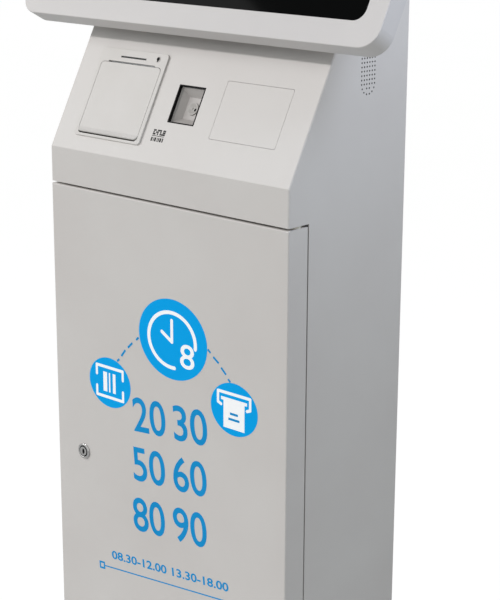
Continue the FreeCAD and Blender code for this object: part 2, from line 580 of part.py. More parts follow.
def power_supply():
    body = new_body("power_supply")
    x0 = "(-supply_left)"
    y0 = "(-supply_front)"
    pad(body, "XY", "base_gauge", "base_gauge + supply_tall",
        box(x0, f"{x0} + supply_width", y0, f"{y0} + supply_depth"))
    pocket(body, "XY", "base_gauge + supply_tall / 2", "base_gauge + supply_tall + cut_margin",
           box(f"{x0} + supply_width - terminal_width", f"{x0} + supply_width + cut_margin",
               f"{y0} + sheet_gauge", f"{y0} + supply_depth - sheet_gauge"))


def power_entry():
    """The rear power inlet with its three pins, and the rocker switch beside the socket."""
    body = new_body("power_inlet")
    x = "inlet_right"
    z = "inlet_height"
    flange_out = f"({REAR} + inlet_flange_height)"
    socket_x = "(inlet_right - inlet_width / 2 + inlet_flange + socket_wall + socket_width / 2)"
    rocker_x = f"({socket_x} + socket_width / 2 + socket_wall + rocker_width / 2)"
    pad(body, "XZ", REAR, flange_out, rounded(x, z, "inlet_width", "inlet_tall", "fold_radius"))
    pad(body, "XZ", f"{REAR} - inlet_depth", REAR,
        centred(x, z, "inlet_width - 2 * inlet_flange - 2 * fit_gap",
                "inlet_tall - 2 * inlet_flange - 2 * fit_gap"))
    pocket(body, "XZ", f"{flange_out} - socket_depth", f"{flange_out} + cut_margin",
           rounded(socket_x, z, "socket_width", "socket_tall", "fold_radius"))
    pocket(body, "XZ", f"{flange_out} - rocker_bay", f"{flange_out} + cut_margin",
           centred(rocker_x, z, "rocker_width - rocker_gap", "rocker_tall"))
    axle_y = f"({flange_out} - rocker_bay / 2)"
    pocket(body, "YZ", f"{rocker_x} - rocker_width / 2 - rocker_gap",
           f"{rocker_x} + rocker_width / 2 + rocker_gap",
           circle(axle_y, z, "rocker_axle_radius + running_fit"))
    pins = new_body("inlet_pins")
    floor = f"({flange_out} - socket_depth)"
    places = [(f"{socket_x} - inlet_pin_pitch", z), (f"{socket_x} + inlet_pin_pitch", z),
              (socket_x, f"{z} + inlet_pin_thick / 2")]
    pad(pins, "XZ", floor, f"{floor} + inlet_pin_length",
        *[centred(px, pz, "inlet_pin_wide", "inlet_pin_thick") for px, pz in places])
    rocker = new_body("power_rocker")
    half = "((rocker_width - rocker_gap) / 2 - fit_gap)"
    reach = "(rocker_tall / 2 - rocker_end_gap)"
    pad(rocker, "YZ", f"{rocker_x} - {half}", f"{rocker_x} + {half}",
        polygon((f"{axle_y} - rocker_axle_radius * 2", f"{z} - rocker_axle_radius * 2"),
                (f"{axle_y} - rocker_axle_radius * 2", f"{z} + rocker_axle_radius * 2"),
                (f"{flange_out} - rocker_shoulder", f"{z} + {reach}"), (f"{flange_out} + rocker_proud",
                        f"{z} + {reach}"),
                (f"{flange_out} + rocker_dip", z), (f"{flange_out} - rocker_gap", f"{z} - {reach}"),
                (f"{flange_out} - rocker_heel", f"{z} - {reach}")))
    pad(rocker, "YZ", f"{rocker_x} - rocker_width / 2", f"{rocker_x} + rocker_width / 2",
        circle(axle_y, z, "rocker_axle_radius"))


def fan():
    """The exhaust fan behind the upper vents: a frame with a hub plate, and the bladed rotor."""
    back = f"({PANEL_IN} - fan_depth)"
    z = FAN_Z
    frame = new_body("fan_frame")
    pad(frame, "XZ", back, PANEL_IN, rounded("0", z, "fan_size", "fan_size", "fan_corner"),
        circle("0", z, "fan_bore"))
    pad(frame, "XZ", back, f"{back} + fan_plate", circle("0", z, "fan_hub"))
    strut = "(fan_bore + fan_hub + cut_margin)"
    span = "(fan_bore - fan_hub + 2 * cut_margin)"
    for place in ((f"{strut} / 2", z, span, "fan_strut"), (f"-{strut} / 2", z, span, "fan_strut"),
                  ("0", f"{z} + {strut} / 2", "fan_strut", span)):
        pad(frame, "XZ", back, f"{back} + fan_plate", centred(*place))
    pad(frame, "XZ", f"{back} + fan_plate", f"{PANEL_IN} - fan_plate", circle("0", z, "fan_axle_radius"))
    rotor = new_body("fan_rotor")
    bind(rotor, "Placement.Base.z", z)
    start = f"({back} + fan_plate + fan_tip_gap)"
    stop = f"({PANEL_IN} - fan_plate - fan_tip_gap)"
    pad(rotor, "XZ", start, stop, circle("0", "0", "fan_hub"),
        circle("0", "0", "fan_axle_radius + running_fit"))
    blade = new_sketch(rotor, "XY", "fan_hub - cut_margin", [polygon(
        ("-fan_hub / 2", start), ("-fan_hub / 2 + blade_gauge", start),
        ("fan_hub / 2", stop), ("fan_hub / 2 - blade_gauge", stop))])
    made = feature(rotor, "Pad", blade, "fan_bore - fan_tip_gap - fan_hub", 1)
    repeat_round(rotor, made, "Y_Axis", FAN_BLADES)


def outward(sign, near, far):
    """The two levels along X in rising order, on the side that the sign names."""
    return (near, far) if sign > 0 else (f"-{far}", f"-{near}")


def speakers():
    """A speaker behind each side's holes: its housing, and the cone with a raised dome."""
    inner = f"({INSIDE} - speaker_depth)"
    mouth = f"({INSIDE} - cone_recess)"
    edge = f"({mouth} + cone_gauge)"
    crown = f"({edge} + cone_gauge)"
    open_width = "(cone_width + 2 * cone_gap)"
    for name, sign in (("left", -1), ("right", 1)):
        housing = new_body(f"speaker_housing_{name}")
        pad(housing, "YZ", *outward(sign, inner, INSIDE),
            rounded(SPEAKER_Y, SPEAKER_Z, "speaker_width", "speaker_tall", "speaker_corner"))
        pocket(housing, "YZ", *outward(sign, mouth, f"({INSIDE} + cut_margin)"),
               rounded(SPEAKER_Y, SPEAKER_Z, open_width, "cone_tall + 2 * cone_gap",
                       f"({open_width} / 2 - round_margin)"))
        cone = new_body(f"speaker_cone_{name}")
        pad(cone, "YZ", *outward(sign, mouth, edge),
            rounded(SPEAKER_Y, SPEAKER_Z, "cone_width", "cone_tall", "(cone_width / 2 - round_margin)"))
        pad(cone, "YZ", *outward(sign, edge, crown), circle(SPEAKER_Y, SPEAKER_Z, "dome_radius"))


# Door and lock

def front_door():
    """The folded door: its skin, with returns round the sides, and the top and bottom flanges."""
    body = new_body("front_door")
    front = value(FRONT)
    pad(body, "XY", DOOR_LOW, DOOR_HIGH, box(f"-{SIDE}", SIDE, FRONT, RETURN_BACK))
    round_edges(body, "door_fold", lambda edge: flat_at(edge, "y", front))
    pocket(body, "XZ", f"{FRONT} + sheet_gauge", f"{RETURN_BACK} + cut_margin",
           box(f"-{INSIDE}", INSIDE, f"{DOOR_LOW} + sheet_gauge", f"{DOOR_HIGH} - sheet_gauge"))
    pocket(body, "XY", f"{DOOR_LOW} - cut_margin", f"{DOOR_HIGH} + cut_margin",
           circle(HINGE_X, HINGE_Y, "pin_radius + bush_wall + pin_fit"))
    pocket(body, "XZ", f"{FRONT} - cut_margin", f"{FRONT} + sheet_gauge + cut_margin",
           circle(LOCK_X, LOCK_Z, "lock_barrel_radius + fit_gap"))


def door_stiffeners():
    """Two hat-shaped channels up the inside of the door skin."""
    body = new_body("door_stiffeners")
    skin = f"({FRONT} + sheet_gauge)"
    crest = f"({skin} + stiffener_height)"
    loops = []
    for x in ("(stiffener_spacing / 2)", "(-stiffener_spacing / 2)"):
        foot = "(stiffener_width / 2 + stiffener_lip)"
        wall = "(stiffener_width / 2)"
        inner = "(stiffener_width / 2 - stiffener_gauge)"
        loops.append(polygon(
            (f"{x} - {foot}", skin), (f"{x} - {inner}", skin), (f"{x} - {inner}",
                    f"{crest} - stiffener_gauge"),
            (f"{x} + {inner}", f"{crest} - stiffener_gauge"), (f"{x} + {inner}", skin), (f"{x} + {foot}",
                    skin),
            (f"{x} + {foot}", f"{skin} + stiffener_gauge"), (f"{x} + {wall}", f"{skin} + stiffener_gauge"),
            (f"{x} + {wall}", crest), (f"{x} - {wall}", crest), (f"{x} - {wall}",
                    f"{skin} + stiffener_gauge"),
            (f"{x} - {foot}", f"{skin} + stiffener_gauge")))
    pad(body, "XY", f"{DOOR_LOW} + stiffener_end", f"{DOOR_HIGH} - stiffener_end", *loops)


def door_hinge():
    """Headed pins through the ledges above and below the door, and collared bushes in its flanges."""
    pins = new_body("door_hinge_pins")
    upper_seat = "(seam_height + sheet_gauge)"
    lower_seat = "(kick_height - sheet_gauge)"
    pad(pins, "XY", upper_seat, f"{upper_seat} + pin_head_height",
        circle(HINGE_X, HINGE_Y, "pin_head_radius"))
    pad(pins, "XY", f"{DOOR_HIGH} - sheet_gauge - pin_reach", upper_seat,
        circle(HINGE_X, HINGE_Y, "pin_radius"))
    pad(pins, "XY", f"{lower_seat} - pin_head_height", lower_seat,
        circle(HINGE_X, HINGE_Y, "pin_head_radius"))
    pad(pins, "XY", lower_seat, f"{DOOR_LOW} + sheet_gauge + pin_reach",
        circle(HINGE_X, HINGE_Y, "pin_radius"))
    bushes = new_body("door_hinge_bushes")
    bore = circle(HINGE_X, HINGE_Y, "pin_radius + pin_fit")
    sleeve = circle(HINGE_X, HINGE_Y, "pin_radius + bush_wall")
    collar = circle(HINGE_X, HINGE_Y, "bush_collar_radius")
    pad(bushes, "XY", DOOR_HIGH, "seam_height - bush_end_gap", collar, bore)
    pad(bushes, "XY", f"{DOOR_HIGH} - sheet_gauge - bush_length", DOOR_HIGH, sleeve, bore)
    pad(bushes, "XY", "kick_height + bush_end_gap", DOOR_LOW, collar, bore)
    pad(bushes, "XY", DOOR_LOW, f"{DOOR_LOW} + sheet_gauge + bush_length", sleeve, bore)


def cam_lock():
    """The cam lock: housing and nut on the door; plug, cranked cam and cam screw turning together."""
    housing = new_body("lock_housing")
    barrel_end = f"({FRONT} + lock_barrel_length)"
    bore = circle(LOCK_X, LOCK_Z, "lock_plug_radius + running_fit")
    pad(housing, "XZ", f"{FRONT} - lock_flange_height", FRONT, circle(LOCK_X, LOCK_Z, "lock_flange_radius"))
    rim = value(f"{FRONT} - lock_flange_height")
    round_edges(housing, "lock_flange_edge", lambda edge: flat_at(edge, "y", rim))
    pad(housing, "XZ", FRONT, barrel_end, circle(LOCK_X, LOCK_Z, "lock_barrel_radius"))
    pocket(housing, "XZ", f"{FRONT} - lock_flange_height - cut_margin", f"{barrel_end} + cut_margin", bore)
    nut = new_body("lock_nut")
    seat = f"({FRONT} + sheet_gauge)"
    corner = "(lock_nut_flats / 2 / cos(30))"
    hexagon = polygon(*[(f"{LOCK_X} + {corner} * cos({60 * k})", f"{LOCK_Z} + {corner} * sin({60 * k})")
                        for k in range(6)])
    pad(nut, "XZ", seat, f"{seat} + lock_nut_height", hexagon,
        circle(LOCK_X, LOCK_Z, "lock_barrel_radius + running_fit"))
    plug = new_body("lock_plug")
    face = f"({FRONT} - lock_flange_height - lock_plug_proud)"
    tail_end = f"({barrel_end} + lock_tail_length)"
    pad(plug, "XZ", face, barrel_end, circle(LOCK_X, LOCK_Z, "lock_plug_radius"))
    pad(plug, "XZ", barrel_end, tail_end, circle(LOCK_X, LOCK_Z, "lock_tail_radius"))
    pocket(plug, "XZ", f"{face} - cut_margin", f"{face} + key_slot_depth",
           centred(LOCK_X, LOCK_Z, "key_slot_width", "key_slot_length"))
    pocket(plug, "XZ", barrel_end, f"{tail_end} + cut_margin",
           circle(LOCK_X, LOCK_Z, "cam_screw_radius + running_fit"))
    # At rest the cam hangs down, clear of the jamb; a quarter turn carries its tip behind the jamb
    cam = new_body("lock_cam")
    near = f"({barrel_end} + fit_gap)"
    far = f"({JAMB} + sheet_gauge + cam_clearance)"
    bend = "(lock_tail_radius + cam_crank)"
    knee = f"({bend} + ({far} - {near}) / 2)"
    pad(cam, "YZ", f"{LOCK_X} - cam_width / 2", f"{LOCK_X} + cam_width / 2",
        polygon((near, f"{LOCK_Z} + cam_top"), (near, f"{LOCK_Z} - {bend}"), (far, f"{LOCK_Z} - {knee}"),
                (far, f"{LOCK_Z} - cam_reach"), (f"{far} + cam_gauge", f"{LOCK_Z} - cam_reach"),
                (f"{far} + cam_gauge", f"{LOCK_Z} - {knee} + cam_gauge / 2"),
                (f"{near} + cam_gauge", f"{LOCK_Z} - {bend} + cam_gauge / 2"), (f"{near} + cam_gauge",
                        f"{LOCK_Z} + cam_top")))
    pocket(cam, "XZ", f"{near} - cut_margin", f"{near} + cam_gauge + cut_margin",
           circle(LOCK_X, LOCK_Z, "lock_tail_radius + running_fit"))
    screw = new_body("lock_cam_screw")
    pad(screw, "XZ", tail_end, f"{tail_end} + cam_screw_head_height",
        circle(LOCK_X, LOCK_Z, "cam_screw_head"))
    pad(screw, "XZ", f"{barrel_end} + cam_gauge", tail_end, circle(LOCK_X, LOCK_Z, "cam_screw_radius"))


# Ticket printer, in the slope frame

def printer_faceplate():
    """The raised plate round the lid, with the ticket slot, the light bar's slot and the button's hole."""
    body = new_body("printer_faceplate", on_slope=True)
    middle = "((face_low + face_high) / 2)"
    pad(body, "XY", "0", "face_rise", rounded("printer_x", middle, "face_width", "face_high - face_low",
            "face_corner"))
    rim = value("face_rise")
    round_edges(body, "face_edge", lambda edge: flat_at(edge, "z", rim))
    lid_mid = "((lid_low - lid_swing_gap + lid_high) / 2)"
    pocket(body, "XY", "-cut_margin", "face_rise + cut_margin",
           rounded("printer_x", lid_mid, "lid_width + 2 * lid_gap",
                   "lid_high - lid_low + lid_swing_gap + 2 * lid_gap",
                   "lid_corner + lid_gap"))
    pocket(body, "XY", "-cut_margin", "face_rise + cut_margin",
           centred("printer_x", "lid_high + slot_height / 2", "slot_width", "slot_height + lid_gap * 2"))
    pocket(body, "XY", "-cut_margin", "face_rise + cut_margin",
           centred("bar_x", "bar_rise", "bar_width", "bar_height"),
           circle("button_x", "button_rise", "button_radius + button_gap"))
    span = "(lid_width / 2 + lid_gap + lid_pin_bite)"
    pocket(body, "YZ", f"printer_x - {span}", f"printer_x + {span}",
           circle("hinge_low", "hinge_rise", "lid_pin_radius + running_fit"))


def printer_lid():
    """The hinged lid: a raised ridge over its hinge pin, and two ears for the platen at the top."""
    body = new_body("printer_lid", on_slope=True)
    middle = "((lid_low + lid_high) / 2)"
    half = "(lid_width / 2)"
    pad(body, "XY", "-lid_under", "lid_ridge", rounded("printer_x", middle, "lid_width",
            "lid_high - lid_low", "lid_corner"))
    pocket(body, "YZ", f"printer_x - {half} - cut_margin", f"printer_x + {half} + cut_margin",
           polygon(("lid_low - cut_margin", "ridge_lip"), ("lid_low", "ridge_lip"),
                   ("ridge_crest", "lid_ridge"),
                   ("ridge_foot", "face_rise"), ("lid_high + cut_margin", "face_rise"),
                   ("lid_high + cut_margin", "lid_ridge + cut_margin"), ("lid_low - cut_margin",
                           "lid_ridge + cut_margin")))
    pocket(body, "YZ", f"printer_x - {half} - cut_margin", f"printer_x + {half} + cut_margin",
           circle("hinge_low", "hinge_rise", "lid_pin_radius + running_fit"))
    left = "(paper_x - paper_width / 2 - ear_gap)"
    right = "(paper_x + paper_width / 2 + ear_gap)"
    for x0, x1 in ((f"{left} - ear_gauge", left), (right, f"{right} + ear_gauge")):
        pad(body, "YZ", x0, x1, box("ear_low", "ear_high", "-ear_drop", "-lid_under"))
    pocket(body, "YZ", f"{left} - ear_gauge - cut_margin", f"{right} + ear_gauge + cut_margin",
           circle("platen_rise", "-platen_depth", "shaft_radius + running_fit"))
    pin = new_body("lid_hinge_pin", on_slope=True)
    span = "(lid_width / 2 + lid_gap + lid_pin_bite - fit_gap)"
    pad(pin, "YZ", f"printer_x - {span}", f"printer_x + {span}",
        circle("hinge_low", "hinge_rise", "lid_pin_radius"))


def printer_chassis():
    """The bucket for the paper roll and the mechanism's bay, with a bulkhead and the motor's wall."""
    body = new_body("printer_chassis", on_slope=True)
    low = CHASSIS_LOW
    high = CHASSIS_HIGH
    left = f"(printer_x - {BAY_HALF})"
    right = f"(printer_x + {BAY_HALF})"
    pad(body, "XY", "-chassis_depth", "0", box(f"printer_x - {CHASSIS_HALF}",
            f"printer_x + {CHASSIS_HALF}", low, high))
    floor = "(-chassis_depth + chassis_wall)"
    pocket(body, "XY", floor, "cut_margin", box(left, right, f"{low} + chassis_wall", "bulkhead_rise"))
    pocket(body, "XY", floor, "cut_margin", box(left, right, "bulkhead_rise + chassis_wall",
            f"{high} - chassis_wall"))
    pocket(body, "XY", "-bulkhead_top", "cut_margin", box(left, right, "bulkhead_rise - cut_margin",
            "bulkhead_rise + chassis_wall + cut_margin"))
    wide = f"({CHASSIS_HALF} + cut_margin)"
    pocket(body, "YZ", f"printer_x - {wide}", f"printer_x + {wide}",
           box(f"{low} - cut_margin", "bulkhead_rise + chassis_wall", "-bay_rim", "cut_margin"))
    pocket(body, "YZ", f"printer_x - {wide}", f"printer_x + {wide}",
           box("bulkhead_rise", "lid_high + lid_gap", "-head_rim", "cut_margin"))
    switch_low = "(button_rise - switch_width / 2 - switch_gap)"
    pocket(body, "XY", "-notch_depth", "cut_margin",
           box("button_x - switch_width / 2 - switch_gap", f"printer_x + {wide}", switch_low,
               f"{high} + cut_margin"))
    pad(body, "YZ", "motor_wall_x", "motor_wall_x + motor_wall",
        box("bulkhead_rise + chassis_wall", f"{high} - chassis_wall", floor, "-motor_wall_top"))
    pocket(body, "YZ", "motor_wall_x - cut_margin", "motor_wall_x + motor_wall + cut_margin",
           circle("platen_rise", f"-{PINION_N}", "motor_boss_radius"))
    pad(body, "YZ", "gear_x - gear_width / 2", right, circle("platen_rise", f"-{IDLER_N}", "idler_axle"))
    pocket(body, "YZ", f"printer_x - {wide}", f"printer_x + {wide}",
           circle("roll_rise", "-roll_depth", "spindle_end + running_fit"))


def platen():
    """The rubber platen roller, its steel shaft, and the gear on the shaft's end."""
    half = "(paper_width / 2)"
    roller = new_body("platen_roller", on_slope=True)
    pad(roller, "YZ", f"paper_x - {half}", f"paper_x + {half}",
        circle("platen_rise", "-platen_depth", "platen_radius"),
        circle("platen_rise", "-platen_depth", "shaft_radius"))
    shaft = new_body("platen_shaft", on_slope=True)
    pad(shaft, "YZ", f"paper_x - {half} - ear_gap - ear_gauge - ear_gap", "gear_x + gear_width / 2",
        circle("platen_rise", "-platen_depth", "shaft_radius"))
    gear("platen_gear", "platen_rise", "-platen_depth", PLATEN_TEETH, "shaft_radius")


def feed_drive():
    """The idler and the motor's pinion that turn the platen, and the motor."""
    gear("idler_gear", "platen_rise", f"-{IDLER_N}", IDLER_TEETH, "idler_axle + running_fit",
         tooth_along_s=True)
    gear("motor_pinion", "platen_rise", f"-{PINION_N}", PINION_TEETH, "motor_axle + running_fit")
    motor = new_body("feed_motor", on_slope=True)
    pad(motor, "YZ", "motor_wall_x - motor_length", "motor_wall_x",
        circle("platen_rise", f"-{PINION_N}", "motor_radius"))
    pad(motor, "YZ", "motor_wall_x", "gear_x + gear_width / 2",
        circle("platen_rise", f"-{PINION_N}", "motor_axle"))


def print_head():
    """The thermal head over the platen, and the bent bracket that holds it to the chassis."""
    left = "(paper_x - paper_width / 2)"
    right = "(paper_x + paper_width / 2)"
    face = "(platen_rise + platen_radius + head_gap)"
    back = f"({face} + head_gauge)"
    wall = f"({CHASSIS_HIGH} - chassis_wall)"
    head = new_body("thermal_head", on_slope=True)
    pad(head, "YZ", left, right, box(face, back, "-head_bottom", "-head_top"))
    bracket = new_body("head_bracket", on_slope=True)
    pad(bracket, "YZ", f"printer_x - {BAY_HALF}", right,
        polygon((back, "-head_bottom"), (f"{back} + bracket_gauge", "-head_bottom"),
                (f"{back} + bracket_gauge", "-bracket_shelf - bracket_gauge"), (wall,
                        "-bracket_shelf - bracket_gauge"),
                (wall, "-bracket_shelf"), (back, "-bracket_shelf")))


def cutter():
    """The cutter's housing on the chassis end, and the blade that slides across the ticket."""
    left = f"(printer_x - {BAY_HALF})"
    low = "(lid_high + slot_height)"
    high = f"({CHASSIS_HIGH} - chassis_wall)"
    bottom = "(-cutter_top - cutter_thick)"
    housing = new_body("cutter_housing", on_slope=True)
    pad(housing, "XY", bottom, "-cutter_top", box(left, "cutter_right", low, high))
    blade_left = "(paper_x - paper_width / 2)"
    blade_right = "(cutter_right - ear_gap)"
    pocket(housing, "YZ", f"{blade_left} - blade_slack", f"{blade_right} + blade_slack",
           box(f"{low} - cut_margin", f"{low} + blade_depth + blade_slack",
               "-blade_level - blade_thick / 2 - blade_slack", "-blade_level + blade_thick / 2 + blade_slack"))
    blade = new_body("cutter_blade", on_slope=True)
    pad(blade, "XY", "-blade_level - blade_thick / 2", "-blade_level + blade_thick / 2",
        box(blade_left, blade_right, low, f"{low} + blade_depth"))


def paper_supply():
    """The spindle across the bucket, and the roll of ticket paper on it."""
    spindle = new_body("paper_spindle", on_slope=True)
    span = f"({CHASSIS_HALF} - fit_gap)"
    hub = f"({BAY_HALF} - ear_gap)"
    pad(spindle, "YZ", f"printer_x - {hub}", f"printer_x + {hub}",
        circle("roll_rise", "-roll_depth", "roll_core - running_fit"))
    pad(spindle, "YZ", f"printer_x - {span}", f"printer_x - {hub}",
        circle("roll_rise", "-roll_depth", "spindle_end"))
    pad(spindle, "YZ", f"printer_x + {hub}", f"printer_x + {span}",
        circle("roll_rise", "-roll_depth", "spindle_end"))
    roll = new_body("paper_roll", on_slope=True)
    pad(roll, "YZ", "paper_x - paper_width / 2", "paper_x + paper_width / 2",
        circle("roll_rise", "-roll_depth", "roll_radius"), circle("roll_rise", "-roll_depth", "roll_core"))


def printer_controls():
    """The light bar above the ticket slot, the round feed button and the switch beneath it."""
    bar = new_body("status_light", on_slope=True)
    pad(bar, "XY", "-cutter_top", "face_rise - bar_fit",
        centred("bar_x", "bar_rise", "bar_width - 2 * bar_fit", "bar_height - 2 * bar_fit"))
    button = new_body("feed_button", on_slope=True)
    pad(button, "XY", "fit_gap", "face_rise + button_proud",
        circle("button_x", "button_rise", "button_radius"))
    pad(button, "XY", "-switch_drop + button_travel + fit_gap", "fit_gap",
        circle("button_x", "button_rise", "button_neck"))
    top = value("face_rise + button_proud")
    round_edges(button, "button_proud / 2", lambda edge: flat_at(edge, "z", top))
    switch = new_body("feed_switch", on_slope=True)
    pad(switch, "XY", "-switch_drop - switch_depth", "-switch_drop",
        centred("button_x", "button_rise", "switch_width", "switch_width"))
    inset = "(switch_width / 2 - switch_post / 2)"
    posts = [centred(f"button_x {a} {inset}", f"button_rise {b} {inset}", "switch_post", "switch_post")
             for a in "+-" for b in "+-"]
    pad(switch, "XY", "-switch_drop", "0", *posts)


# Code scanner, in the slope frame

def code_scanner():
    """The black window frame, the funnel behind it, the module and its lens barrel."""
    width = "(window_width - 2 * window_fit)"
    tall = "(window_tall - 2 * window_fit)"
    inner_width = f"({width} - 2 * window_wall)"
    inner_tall = f"({tall} - 2 * window_wall)"
    frame = new_body("scanner_frame", on_slope=True)
    pad(frame, "XY", "-window_reveal", "window_proud", centred("window_x", "window_rise", width, tall))
    pad(frame, "XY", "-sheet_gauge - window_flange_gauge", "-sheet_gauge",
        centred("window_x", "window_rise", f"{width} + 2 * window_flange", f"{tall} + 2 * window_flange"))
    pocket(frame, "XY", "-window_reveal - cut_margin", "window_proud + cut_margin",
           centred("window_x", "window_rise", inner_width, inner_tall))
    funnel = new_body("scanner_funnel", on_slope=True)
    floor = "(-window_reveal - funnel_depth)"
    pad(funnel, "XY", f"{floor} - funnel_floor", "-window_reveal",
        centred("window_x", "window_rise", f"{width} + 2 * funnel_wall", f"{tall} + 2 * funnel_wall"))
    mouth = new_sketch(funnel, "XY", "-window_reveal", [centred("window_x", "window_rise", inner_width,
            inner_tall)])
    throat = new_sketch(funnel, "XY", floor, [centred("window_x", "window_rise", "floor_width", "floor_tall")])
    loft = funnel.newObject("PartDesign::SubtractiveLoft", "funnel_cut")
    loft.Profile = mouth
    loft.Sections = [throat]
    loft.Ruled = True
    doc.recompute()
    pocket(funnel, "XY", f"{floor} - funnel_floor - cut_margin", f"{floor} + cut_margin",
           circle("window_x", "window_rise", "lens_radius + lens_fit"))
    module = new_body("scanner_module", on_slope=True)
    top = f"({floor} - funnel_floor)"
    pad(module, "XY", f"{top} - module_depth", top, centred("window_x", "window_rise", "module_width",
            "module_tall"))
    round_edges(module, "fold_radius", upright)
    lens = new_body("scanner_lens", on_slope=True)
    pad(lens, "XY", top, f"{floor} + lens_rise", circle("window_x", "window_rise", "lens_radius"))
    rim = new_sketch(lens, "XY", f"{floor} + lens_rise", [circle("window_x", "window_rise", "lens_mouth")])
    base = new_sketch(lens, "XY", floor, [circle("window_x", "window_rise", "lens_seat")])
    cone = lens.newObject("PartDesign::SubtractiveLoft", "lens_cone")
    cone.Profile = rim
    cone.Sections = [base]
    doc.recompute()
    pocket(lens, "XY", f"{floor} - lens_throat / 2", f"{floor} + lens_throat",
           circle("window_x", "window_rise", "lens_throat"))


def blank_panel():
    """The flush blank plate for an optional reader, and the two straps that hold it from behind."""
    plate = new_body("blank_plate", on_slope=True)
    pad(plate, "XY", "-sheet_gauge", "0",
        rounded("blank_x", "blank_rise", "blank_width - 2 * blank_gap", "blank_tall - 2 * blank_gap",
                "blank_corner"))
    straps = new_body("blank_plate_straps", on_slope=True)
    pad(straps, "XY", "-2 * sheet_gauge", "-sheet_gauge",
        *[centred("blank_x", f"blank_rise {side} strap_spacing / 2", "blank_width + 2 * strap_overlap",
                  "strap_width") for side in "+-"])


# Touch monitor, in the slope frame

def monitor_shell():
    """The folded front shell, open behind, with the round-cornered opening for the glass."""
    body = new_body("monitor_front_shell", on_slope=True)
    pad(body, "XY", "monitor_back", MONITOR_FACE, rounded("0", MONITOR_MID, "monitor_width",
            "monitor_tall", "monitor_corner"))
    rim = value(MONITOR_FACE)
    round_edges(body, "monitor_edge", lambda edge: flat_at(edge, "z", rim))
    pocket(body, "XY", "monitor_back - cut_margin", f"{MONITOR_FACE} - sheet_gauge",
           rounded("0", MONITOR_MID, "monitor_width - 2 * sheet_gauge", "monitor_tall - 2 * sheet_gauge",
                   "monitor_corner - sheet_gauge"))
    pocket(body, "XY", f"{MONITOR_FACE} - sheet_gauge - cut_margin", f"{MONITOR_FACE} + cut_margin",
           rounded("0", GLASS_MID, GLASS_WIDTH, GLASS_TALL, "glass_corner"))


def monitor_display():
    """The touch glass behind the opening, the screen behind it, and the rails that carry the screen."""
    glass_top = f"({MONITOR_FACE} - sheet_gauge - glass_gap)"
    glass_bottom = f"({glass_top} - glass_gauge)"
    glass = new_body("touch_glass", on_slope=True)
    pad(glass, "XY", glass_bottom, glass_top,
        rounded("0", GLASS_MID, f"{GLASS_WIDTH} + 2 * glass_lap", f"{GLASS_TALL} + 2 * glass_lap",
                "glass_corner + glass_lap"))
    screen_top = f"({glass_bottom} - glass_gap)"
    screen_bottom = f"({screen_top} - screen_thick)"
    screen = new_body("lcd_panel", on_slope=True)
    pad(screen, "XY", screen_bottom, screen_top,
        centred("0", GLASS_MID, "screen_width + 2 * screen_frame", "screen_tall + 2 * screen_frame"))
    rails = new_body("lcd_rails", on_slope=True)
    cover_top = "(monitor_back + sheet_gauge)"
    rail_tall = "(screen_tall + 2 * screen_frame - rail_end)"
    pad(rails, "XY", cover_top, screen_bottom, centred("rail_x", GLASS_MID, "rail_width", rail_tall),
        centred("-rail_x", GLASS_MID, "rail_width", rail_tall))
    pocket(rails, "XY", cover_top, f"{screen_bottom} - sheet_gauge",
           centred("rail_x", GLASS_MID, "rail_width - 2 * sheet_gauge", f"{rail_tall} + cut_margin"),
           centred("-rail_x", GLASS_MID, "rail_width - 2 * sheet_gauge", f"{rail_tall} + cut_margin"))
    board = new_body("driver_board", on_slope=True)
    board_bottom = f"({cover_top} + board_standoff)"
    board_s = "(collar_rise + collar_tall / 2 + board_tall / 2 + collar_lip)"
    pad(board, "XY", board_bottom, f"{board_bottom} + board_gauge",
        centred("0", board_s, "board_width", "board_tall"))
    corners = [(f"{a}(board_width / 2 - standoff_inset)",
                f"{board_s} {b} (board_tall / 2 - standoff_inset)")
               for a in ("", "-") for b in "+-"]
    pad(board, "XY", cover_top, board_bottom, *[circle(x, s, "standoff_radius") for x, s in corners])
    pad(board, "XY", f"{board_bottom} + board_gauge", f"{board_bottom} + board_gauge + chip_height",
        *[centred(f"chip_pitch * {k}", board_s, "chip_size", "chip_size") for k in (-1, 0, 1)])


